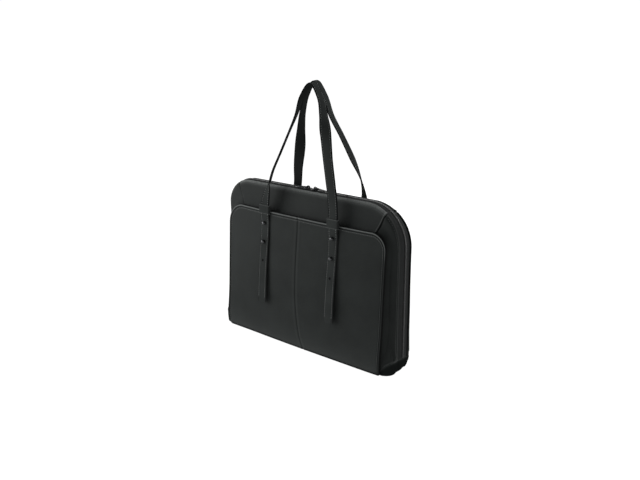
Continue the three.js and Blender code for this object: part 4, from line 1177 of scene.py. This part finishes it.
def spline(rows, t):
    """Smooth curve through rows at parameters t, which count rows: in each span a cubic whose end slopes
    come from the neighbouring rows, weighted by the square roots of the distances between them."""
    padded = np.concatenate([2 * rows[:1] - rows[1:2], rows, 2 * rows[-1:] - rows[-2:-1]])
    step = np.sqrt(np.linalg.norm(np.diff(padded, axis=0), axis=1))[:, None]
    before, here, after, beyond = padded[:-3], padded[1:-2], padded[2:-1], padded[3:]
    d0, d1, d2 = step[:-2], step[1:-1], step[2:]
    out = ((here - before) / d0 - (after - before) / (d0 + d1) + (after - here) / d1) * d1
    into = ((after - here) / d1 - (beyond - here) / (d1 + d2) + (beyond - after) / d2) * d1
    k = np.clip(np.floor(t).astype(int), 0, len(rows) - 2)
    f = (t - k)[:, None]
    a, b, m, n = here[k], after[k], out[k], into[k]
    return a + m * f + (3 * (b - a) - 2 * m - n) * f**2 + (2 * (a - b) + m + n) * f**3


def strap_line(side, arch, thickness):
    """Centre line of a handle from its left tip over the top to its right tip, as points, turns about Z and
    distances along the strap."""
    turn = 0.0 if side < 0 else 180.0
    def tail(x, turn_at):
        level = np.full(len(TAIL), x)
        y = side * (panel_depth(level, TAIL[:, 0]) + TAIL[:, 1] + thickness / 2)
        return np.column_stack([level, y, TAIL[:, 0], np.full(len(TAIL), turn_at)])
    rows = np.concatenate([tail(-STRAP_SPACING, turn), arch, tail(STRAP_SPACING, turn + side * 180)[::-1]])
    t = np.linspace(0, len(rows) - 1, STRAP_SAMPLES)
    points = spline(rows[:, :3], t)
    turns = spline(np.column_stack([np.arange(len(rows)), rows[:, 3], np.zeros(len(rows))]), t)[:, 1]
    return points, np.radians(turns), run_of(points)


def strap_half(z, width):
    """Half width of a handle at height z: full in the tails, narrower above."""
    return width / 2 * lerp(1.0, STRAP_TAPER["share"], smooth(STRAP_TAPER["from"], STRAP_TAPER["to"], z))


def strap_stations(points, turns, run, stations):
    """Points, directions across and outwards at distances along the strap."""
    turn = np.interp(stations, run, turns)
    across = stack(np.cos(turn), np.sin(turn), 0 * turn)
    outward = unit(np.cross(across, heading_at(run, points, stations, 1e-3)))
    return read_at(run, points, stations), across, outward


def hole_places(points, run):
    """Distances along the strap of its six holes, three in each tail."""
    heights = np.array(STUD_HEIGHTS + (SPARE_HOLE,))
    half = len(run) // 4
    left = np.interp(heights, points[:half, 2], run[:half])
    right = np.interp(heights, points[::-1][:half, 2], run[::-1][:half])
    return np.concatenate([left, right])


def strap_profile(full, reach, end, thick):
    """Sections of a strap: a crowned top with grooves and with hollows at the holes, round edges and a flat
    underside. full is the half width, reach the distance to the nearest hole, end that to the tip. Returns
    also the number of points across the top."""
    inset = TIP_RADIUS - np.sqrt(np.maximum(0, TIP_RADIUS**2 - np.maximum(0, TIP_RADIUS - end) ** 2))
    half = (full - thick / 2 - inset)[:, None]
    share = np.concatenate([np.linspace(-1, -HOLE_SPAN, 12, endpoint=False),
                            np.linspace(-HOLE_SPAN, HOLE_SPAN, 21), np.linspace(HOLE_SPAN, 1, 13)[1:]])
    top = half * share
    hollow = smooth(HOLE_RADIUS + HOLE_EDGE[0], HOLE_RADIUS + HOLE_EDGE[1], np.hypot(top, reach[:, None]))
    crown = STRAP_FACE["crown"] * (1 - share**2)
    sewn_at = full[:, None] - SEWN_INSET
    groove = STRAP_FACE["groove"] * bell(np.abs(top), sewn_at, STRAP_FACE["groove_width"])
    level = thick / 2 - STRAP_FACE["arris"]
    height = level + crown - groove - (thick - STRAP_FACE["hole_floor"]) * hollow
    angle = np.linspace(0, np.pi, EDGE_POINTS + 2)[1:-1]
    bulge = np.sin(angle) * thick / 2
    drop = np.cos(angle) * level
    right = np.stack([half + bulge, 0 * half + drop], axis=-1)
    left = np.stack([-half - bulge[::-1], 0 * half + drop[::-1]], axis=-1)
    under = half * np.linspace(1, -1, UNDER_POINTS)
    under = np.stack([under, np.full_like(under, -level)], axis=-1)
    return np.concatenate([np.stack([top, height], axis=-1), right, under, left], axis=1), len(share)


class BAG_OT_handles(bpy.types.Operator):
    """The two strap handles with punched holes and sewn edges"""

    bl_idname = "bag.handles"
    bl_label = "Handles"

    def execute(self, context):
        sizes = context.scene.bag_sizes
        for name, side, arch in HANDLES:
            points, turns, run = strap_line(side, arch, sizes.strap_thickness)
            holes = hole_places(points, run)
            near = (holes[:, None] + np.linspace(-HOLE_REACH, HOLE_REACH, 17)).ravel()
            tip = TIP_RADIUS * (1 - np.cos(np.linspace(0, np.pi / 2, 9)))
            stations = np.concatenate([np.linspace(0, run[-1], STRAP_STATIONS), near, tip, run[-1] - tip])
            stations = np.unique(np.round(stations, 6))
            centre, across, outward = strap_stations(points, turns, run, stations)
            reach = np.abs(stations[:, None] - holes[None]).min(axis=1)
            end = np.minimum(stations, run[-1] - stations)
            full = strap_half(centre[:, 2], sizes.strap_width)
            profile, count = strap_profile(full, reach, end, sizes.strap_thickness)
            made, faces = carried(profile, centre, across, outward, False)
            strip = np.arange(profile.shape[1])
            first_under = count + EDGE_POINTS
            after_under = first_under + UNDER_POINTS
            under_side = (strip >= first_under) & (strip < after_under)
            top_edge = (strip < 2) | (strip > count - 4)
            tail = smooth(STRAP_WEAR["from"], STRAP_WEAR["to"], centre[:, 2:])
            wear_and_light = np.where(under_side, STRAP_WEAR["under"], STRAP_WEAR["edge"] * tail * top_edge).ravel()
            painted = top_edge & ((strip < first_under) | (strip > after_under - 2))
            painted = np.concatenate([np.tile(painted, len(stations) - 1), (True, True)])
            place_piece(f"strap_{name}", made, faces, finish_of(context, "strap_leather_finish"),
                        "strap_leather", [f"handle_{name}"], wear_and_light=wear_and_light,
                        edging=(finish_of(context, "edge_paint"), painted))
        return {"FINISHED"}


class BAG_OT_keepers(bpy.types.Operator):
    """The four strap keepers"""

    bl_idname = "bag.keepers"
    bl_label = "Keepers"

    def execute(self, context):
        sizes = context.scene.bag_sizes
        band, height = KEEPER["band"], KEEPER["height"]
        depth = sizes.strap_thickness + 2 * KEEPER["slack"] + 2 * band
        path, out = rounded_box_path(KEEPER["half"] - band / 2, depth / 2 - band / 2, KEEPER["corner"], 5)
        centre = np.column_stack([path, np.full(len(path), height / 2)])
        outward = np.column_stack([out, np.zeros(len(out))])
        upward = np.tile((0.0, 0.0, 1.0), (len(path), 1))
        angle = np.linspace(0, np.pi, 7)
        straight = height / 2 - band / 2
        rise = np.linspace(-1, 1, 15) * straight
        sewn_at = height / 2 - KEEPER_GROOVE["inset"]
        groove = KEEPER_GROOVE["depth"] * bell(np.abs(rise), sewn_at, KEEPER_GROOVE["width"])
        outer_side = np.column_stack([rise, band / 2 - groove])
        top = np.column_stack([straight + band / 2 * np.sin(angle), band / 2 * np.cos(angle)])[1:-1]
        inner_side = np.column_stack([rise[::-2], np.full(len(rise[::-2]), -band / 2)])
        low = top[::-1] * np.array((-1, 1))
        profile = np.concatenate([outer_side, top, inner_side, low])
        points, faces = carried(profile, centre, upward, outward, True)
        face_wear = KEEPER_WEAR["face"] * np.abs(rise / rise.max()) ** 20
        edge_wear = np.full(len(top), KEEPER_WEAR["edge"])
        tone_marks = np.concatenate([face_wear, edge_wear, np.zeros(len(inner_side)), edge_wear])
        wear_and_light = np.tile(tone_marks, len(path))
        lean = -np.arctan(DEPTH_LOST)
        points = points - np.array((0, depth / 2, 0))
        y = points[:, 1] * np.cos(lean) - points[:, 2] * np.sin(lean)
        z = points[:, 1] * np.sin(lean) + points[:, 2] * np.cos(lean)
        for side, y_sign in SIDES:
            for hand, x_sign in HANDS:
                x = x_sign * STRAP_SPACING
                seat = panel_depth(np.array(x), np.array(KEEPER["bottom"])) + KEEPER["seat"]
                made = stack(points[:, 0] + x, y - seat, z + KEEPER["bottom"])
                made, turned = mirrored(made, faces, (1, y_sign, 1))
                place_piece(f"strap_keeper_{side}_{hand}", made, turned,
                            finish_of(context, "strap_leather_finish"), "strap_leather",
                            [f"keeper_{side}_{hand}"], wear_and_light=wear_and_light)
        return {"FINISHED"}


class BAG_OT_studs(bpy.types.Operator):
    """The eight ball studs"""

    bl_idname = "bag.studs"
    bl_label = "Studs"

    def execute(self, context):
        sizes = context.scene.bag_sizes
        radius = sizes.stud_radius
        neck = STRAP_SEAT + sizes.strap_thickness + STUD_CLEARANCE
        angle = np.linspace(-0.95, np.pi / 2, 15)
        rise = neck + STUD_BALL_RISE + radius * 0.9 * (np.sin(angle) + 0.25)
        ball = np.column_stack([radius * np.cos(angle), rise])
        ball[-1, 0] = 0
        washer, chamfer = STUD_WASHER["radius"], STUD_WASHER["chamfer"]
        low = -sizes.leather - STUD_WASHER["depth"]
        shank = np.array([(0, low), (washer - chamfer, low), (washer, low + chamfer),
                          (washer, low + STUD_WASHER["rim"]), (STUD_SHANK, low + STUD_WASHER["thickness"]),
                          (STUD_SHANK, neck - 0.0002), (STUD_SHANK, neck + 0.0004)])
        points, faces = revolved(np.concatenate([shank, ball]), 28)
        points = points[:, [0, 2, 1]] * np.array((1, -1, 1))
        faces = outward_faces(points, faces)
        for side, y_sign in SIDES:
            for hand, x_sign in HANDS:
                for level, z in zip(("upper", "lower"), STUD_HEIGHTS):
                    x = x_sign * STRAP_SPACING
                    seat = panel_depth(np.array(x), np.array(z))
                    place = np.array((x, -float(seat), z))
                    made, turned = mirrored(points + place, faces, (1, y_sign, 1))
                    place_piece(f"ball_stud_{side}_{hand}_{level}", made, turned,
                                finish_of(context, "dark_nickel"), "dark_metal",
                                [f"stud_{side}_{hand}_{level}"])
        return {"FINISHED"}


def softened(low, high, edge):
    """Layers of (inset, height) from low to high with rounded edges."""
    lower = [(inset, low + deep) for inset, deep in edge]
    return lower + [(inset, high - deep) for inset, deep in edge[::-1]]


def squared(wave, power):
    """A sine or cosine raised to a power with its sign kept, which makes a circle squarer."""
    return np.sign(wave) * np.abs(wave) ** power


def slider_parts():
    """Zip slider facing +X: a rounded plate in layers and a bridge, a round-edged band over an arch."""
    length, width, thick = SLIDER["length"], SLIDER["width"], SLIDER["thickness"]
    angle = np.linspace(0, 2 * np.pi, 40, endpoint=False)
    square = squared(np.cos(angle), PLATE_POWER)
    taper = lerp(1.0, 0.62, smooth(0.1, 1.0, square))
    outline = np.column_stack([square * length / 2,
                               squared(np.sin(angle), PLATE_POWER) * width / 2 * taper])
    plate = layered(outline, softened(SLIDER_TOP - thick, SLIDER_TOP, SLIDER_EDGE))
    arch = np.linspace(0, np.pi, 21)
    rise = SLIDER_TOP - 0.0004 + squared(np.abs(np.sin(arch)), ARCH_POWER) * (BRIDGE["height"] - 0.0002)
    path = stack(squared(np.cos(arch), ARCH_POWER) * (BRIDGE["half"] - 0.0007), 0 * arch, rise)
    along = unit(np.gradient(path, axis=0))
    across = np.tile((0.0, 1.0, 0.0), (len(path), 1))
    outward = unit(np.cross(along, across))
    section, _ = rounded_box_path(BRIDGE["width"] / 2, 0.00055, 0.0004, 3)
    bridge = carried(section, path, across, outward, False)
    return joined(plate, bridge)


def pull_parts():
    """Zip pull lying towards +X from its hinge line: a wire eye, and a tab in layers with a round end."""
    bar, length = PULL["bar"], PULL["length"]
    half_eye = PULL["eye_length"] / 2 + bar / 2
    eye, out = rounded_box_path(half_eye, PULL["eye_width"] / 2 + bar / 2, 0.0012, 5)
    centre = np.column_stack([eye[:, 0] + half_eye, eye[:, 1], np.zeros(len(eye))])
    outward = np.column_stack([out, np.zeros(len(out))])
    upward = np.tile((0.0, 0.0, 1.0), (len(eye), 1))
    angle = np.linspace(0, 2 * np.pi, 12, endpoint=False)
    wire = np.column_stack([np.sin(angle), np.cos(angle)]) * bar / 2
    loop = carried(wire, centre, upward, outward, True)
    start = PULL["eye_length"] + bar
    turn = np.linspace(-np.pi / 2, np.pi / 2, 15)
    half = PULL["width"] / 2
    nose = np.column_stack([length - half + half * np.cos(turn), half * np.sin(turn)])
    shoulder_x = start + 0.0006
    tail = np.array([(shoulder_x, 0.0027), (start, 0.0021), (start, -0.0021), (shoulder_x, -0.0027)])
    tab = layered(np.concatenate([nose, tail]), softened(-bar / 2, bar / 2, PULL_EDGE))
    points, faces = joined(loop, tab)
    droop = np.radians(PULL_DROOP)
    x = points[:, 0] * np.cos(droop) + points[:, 2] * np.sin(droop)
    z = points[:, 2] * np.cos(droop) - points[:, 0] * np.sin(droop)
    return stack(x, points[:, 1], z), faces


class BAG_OT_zip_pulls(bpy.types.Operator):
    """Zip sliders and their hinged pulls"""

    bl_idname = "bag.zip_pulls"
    bl_label = "Zip sliders and pulls"

    def execute(self, context):
        metal = finish_of(context, "black_nickel")
        for hand, sign in HANDS:
            points, faces = mirrored(*slider_parts(), (sign, 1, 1))
            place_piece(f"slider_{hand}", points + np.array((HINGE_X[hand], 0, 0)), faces, metal,
                        "dark_metal", [f"zip_slider_{hand}"])
            points, faces = mirrored(*pull_parts(), (sign, 1, 1))
            place_piece(f"pull_tab_{hand}", points + np.array((HINGE_X[hand], 0, HINGE_Z)), faces, metal,
                        "dark_metal", [f"zip_pull_{hand}"], body=f"pull_{hand}")
        return {"FINISHED"}


def sewn(path, outward, pitch, length, radius, margin=0.003):
    """A row of stitches along a path, given the direction away from the leather at each of its points."""
    places, along, spots = spaced(path, pitch, margin)
    up = unit(read_at(run_of(path), outward, spots))
    up = unit(up - along * np.sum(up * along, axis=-1, keepdims=True))
    return spindles(places + up * radius * 0.35, along, up, length, radius)


class BAG_OT_stitching(bpy.types.Operator):
    """Rows of stitches on the pocket, along the zip and on the handles"""

    bl_idname = "bag.stitching"
    bl_label = "Stitching"

    def execute(self, context):
        sizes = context.scene.bag_sizes
        thread = finish_of(context, "sewing_thread")
        def sew(path, up):
            return sewn(path, up, sizes.stitch_pitch, sizes.stitch_length, sizes.thread)
        rows = []
        hem = sizes.hem
        inner = {"half": POCKET["half"] - hem, "height": POCKET["height"] - hem,
                 "corner": tuple(c - hem for c in POCKET["corner"])}
        x, z, _ = whole_run(inner, PANEL_BOTTOM + 0.004, np.linspace(0, 1, 700))
        relief = pocket_relief(x, z, hem)
        path = stack(x, -panel_depth(x, z) - relief, z)
        middle = len(path) // 2
        for part in (path[:middle - 1], path[middle + 1:]):
            rows.append(sew(part, np.tile((0.0, -1.0, 0.0), (len(part), 1))))
        place_piece("pocket_stitches", *joined(*rows), thread, "body_leather")
        rows = []
        for side, sign in SIDES:
            u, v = grid(np.linspace(0.006, 0.994, 260), np.linspace(0.80, 0.996, 90))
            face = body_face(u, v, side)
            rows.append(self.rim_row(face, hem * HEM_SHARE["wall"], sign, 1, sew))
            for left in (0, 1):
                u, v = grid(np.linspace(0.02, 0.985, 200), np.linspace(0.3, 0.97, 90))
                face = gusset_face(u, v, side, left)
                rows.append(self.rim_row(face, hem * HEM_SHARE["gusset"], sign, -1 if left else 1, sew))
        place_piece("zip_edge_stitches", *joined(*rows), thread, "body_leather")
        for name, side, arch in HANDLES:
            points, turns, run = strap_line(side, arch, sizes.strap_thickness)
            stations = np.linspace(0.008, run[-1] - 0.008, 900)
            centre, across, outward = strap_stations(points, turns, run, stations)
            rise = sizes.strap_thickness / 2 - 0.00035
            aside = strap_half(centre[:, 2:], sizes.strap_width) - SEWN_INSET
            rows = [sew(centre + across * s * aside + outward * rise, outward) for s in (-1, 1)]
            place_piece(f"strap_stitches_{name}", *joined(*rows), finish_of(context, "strap_thread"),
                        "strap_leather")
        return {"FINISHED"}

    def rim_row(self, face, distance, y_sign, x_sign, sew):
        """Stitches at a distance from the last row of a grid, found on each grid line."""
        normals = normals_of(face)
        rim = edge_distances(face)[3]
        k = np.argmin(np.abs(rim - distance), axis=1)
        rows = np.arange(len(face))
        signs = np.array((x_sign, y_sign, 1))
        return sew((face[rows, k] - normals[rows, k] * 0.0004) * signs, normals[rows, k] * signs)


class BAG_OT_stage(bpy.types.Operator):
    """Round pale light table with an upturned rim, soft lights and the camera"""

    bl_idname = "bag.stage"
    bl_label = "Stage"

    def execute(self, context):
        scene = context.scene
        angle, run = grid(np.linspace(0, 2 * np.pi, 97), np.linspace(0.001, TABLE_RUN, 47))
        bend = np.clip(run - TABLE_FLAT, 0, None) / TABLE_BEND
        radius = np.minimum(run, TABLE_FLAT) + TABLE_BEND * np.sin(bend)
        height = TABLE_BEND * (1 - np.cos(bend)) - TABLE_DROP
        points = stack(radius * np.cos(angle), radius * np.sin(angle), height)
        index = np.arange(run.size).reshape(run.shape)
        mesh = bpy.data.meshes.new("floor")
        mesh.from_pydata(points.reshape(-1, 3).tolist(), [], strips(index.T).tolist())
        mesh.polygons.foreach_set("use_smooth", np.ones(len(mesh.polygons), bool))
        finish = Finish("studio_floor")
        tone = scene.bag_colours.floor
        cloud = finish.noise(finish.place(), 3.0, 2.0)
        mesh.materials.append(finish.set(
            Base_Color=finish.mix(cloud, tinted(tone, 0.99), tinted(tone, 1.0)), Roughness=0.9,
            Specular_IOR_Level=0.1, Emission_Color=(1.0, 1.0, 1.0, 1.0), Emission_Strength=TABLE_GLOW))
        floor = bpy.data.objects.new("floor", mesh)
        scene.collection.objects.link(floor)
        for softbox in SOFTBOXES:
            self.light(scene, *softbox)
        self.sky(scene)
        camera = bpy.data.objects.new("camera", bpy.data.cameras.new("camera"))
        camera.data.lens = CAMERA_LENS
        camera.data.sensor_width = CAMERA_SENSOR
        camera.data.sensor_fit = "HORIZONTAL"
        camera.data.clip_end = CAMERA_REACH
        camera.location = CAMERA_PLACE
        camera.rotation_euler = (np.radians(90 - CAMERA_PITCH), 0.0, np.radians(CAMERA_YAW))
        scene.collection.objects.link(camera)
        scene.camera = camera
        scene.view_settings.view_transform = "Standard"
        return {"FINISHED"}

    def sky(self, scene):
        """Surroundings that are bright to the front left and fade to black on the far side."""
        world = bpy.data.worlds.new("studio")
        world.use_nodes = True
        nodes, links = world.node_tree.nodes, world.node_tree.links
        place = nodes.new("ShaderNodeTexCoord")
        towards = nodes.new("ShaderNodeVectorMath")
        towards.operation = "DOT_PRODUCT"
        towards.inputs[1].default_value = unit(np.array(SKY_BRIGHT_SIDE)).tolist()
        links.new(place.outputs["Generated"], towards.inputs[0])
        strength = nodes.new("ShaderNodeMapRange")
        ranges = zip(("From Min", "From Max", "To Min", "To Max"), (*SKY_BLEND, SKY_DIM, SKY_BRIGHT))
        for key, value in ranges:
            strength.inputs[key].default_value = value
        links.new(towards.outputs["Value"], strength.inputs["Value"])
        links.new(strength.outputs["Result"], nodes["Background"].inputs["Strength"])
        nodes["Background"].inputs["Color"].default_value = (1, 1, 1, 1)
        scene.world = world

    def light(self, scene, name, place, towards, size, power):
        """Square soft light at place, looking towards a point."""
        data = bpy.data.lights.new(name, "AREA")
        data.size = size
        data.energy = power
        lamp = bpy.data.objects.new(name, data)
        back = unit(np.array(place, float) - np.array(towards, float))
        right = unit(np.cross((0.0, 0.0, 1.0), back))
        up = np.cross(back, right)
        turn = Matrix(np.column_stack([right, up, back]).tolist()).to_4x4()
        lamp.matrix_world = Matrix.Translation(place) @ turn
        lamp.visible_camera = False
        scene.collection.objects.link(lamp)


STEPS = ("front_pocket", "body_walls", "gussets", "base", "zip", "handles", "keepers", "studs", "zip_pulls",
         "stitching", "stage")


class BAG_PT_steps(bpy.types.Panel):
    """Lists the bag's sizes, colours and building steps"""

    bl_idname = "BAG_PT_steps"
    bl_label = "Business bag"
    bl_space_type = "VIEW_3D"
    bl_region_type = "UI"
    bl_category = "Bag"

    def draw(self, context):
        for group in (context.scene.bag_sizes, context.scene.bag_colours):
            for name in group.__annotations__:
                self.layout.prop(group, name)
        for step in STEPS:
            self.layout.operator(f"bag.{step}")


CLASSES = (BagSizes, BagColours, BAG_OT_front_pocket, BAG_OT_body_walls, BAG_OT_gussets, BAG_OT_base,
           BAG_OT_zip, BAG_OT_handles, BAG_OT_keepers, BAG_OT_studs, BAG_OT_zip_pulls, BAG_OT_stitching,
           BAG_OT_stage, BAG_PT_steps)


def register():
    """Registers the classes and hangs the sizes and colours on the scene."""
    for cls in CLASSES:
        bpy.utils.register_class(cls)
    bpy.types.Scene.bag_sizes = PointerProperty(type=BagSizes)
    bpy.types.Scene.bag_colours = PointerProperty(type=BagColours)


def unregister():
    """Undoes register."""
    del bpy.types.Scene.bag_colours
    del bpy.types.Scene.bag_sizes
    for cls in reversed(CLASSES):
        bpy.utils.unregister_class(cls)


def main():
    """Builds every piece in order."""
    register()
    for step in STEPS:
        getattr(bpy.ops.bag, step)()


if __name__ == "__main__":
    main()
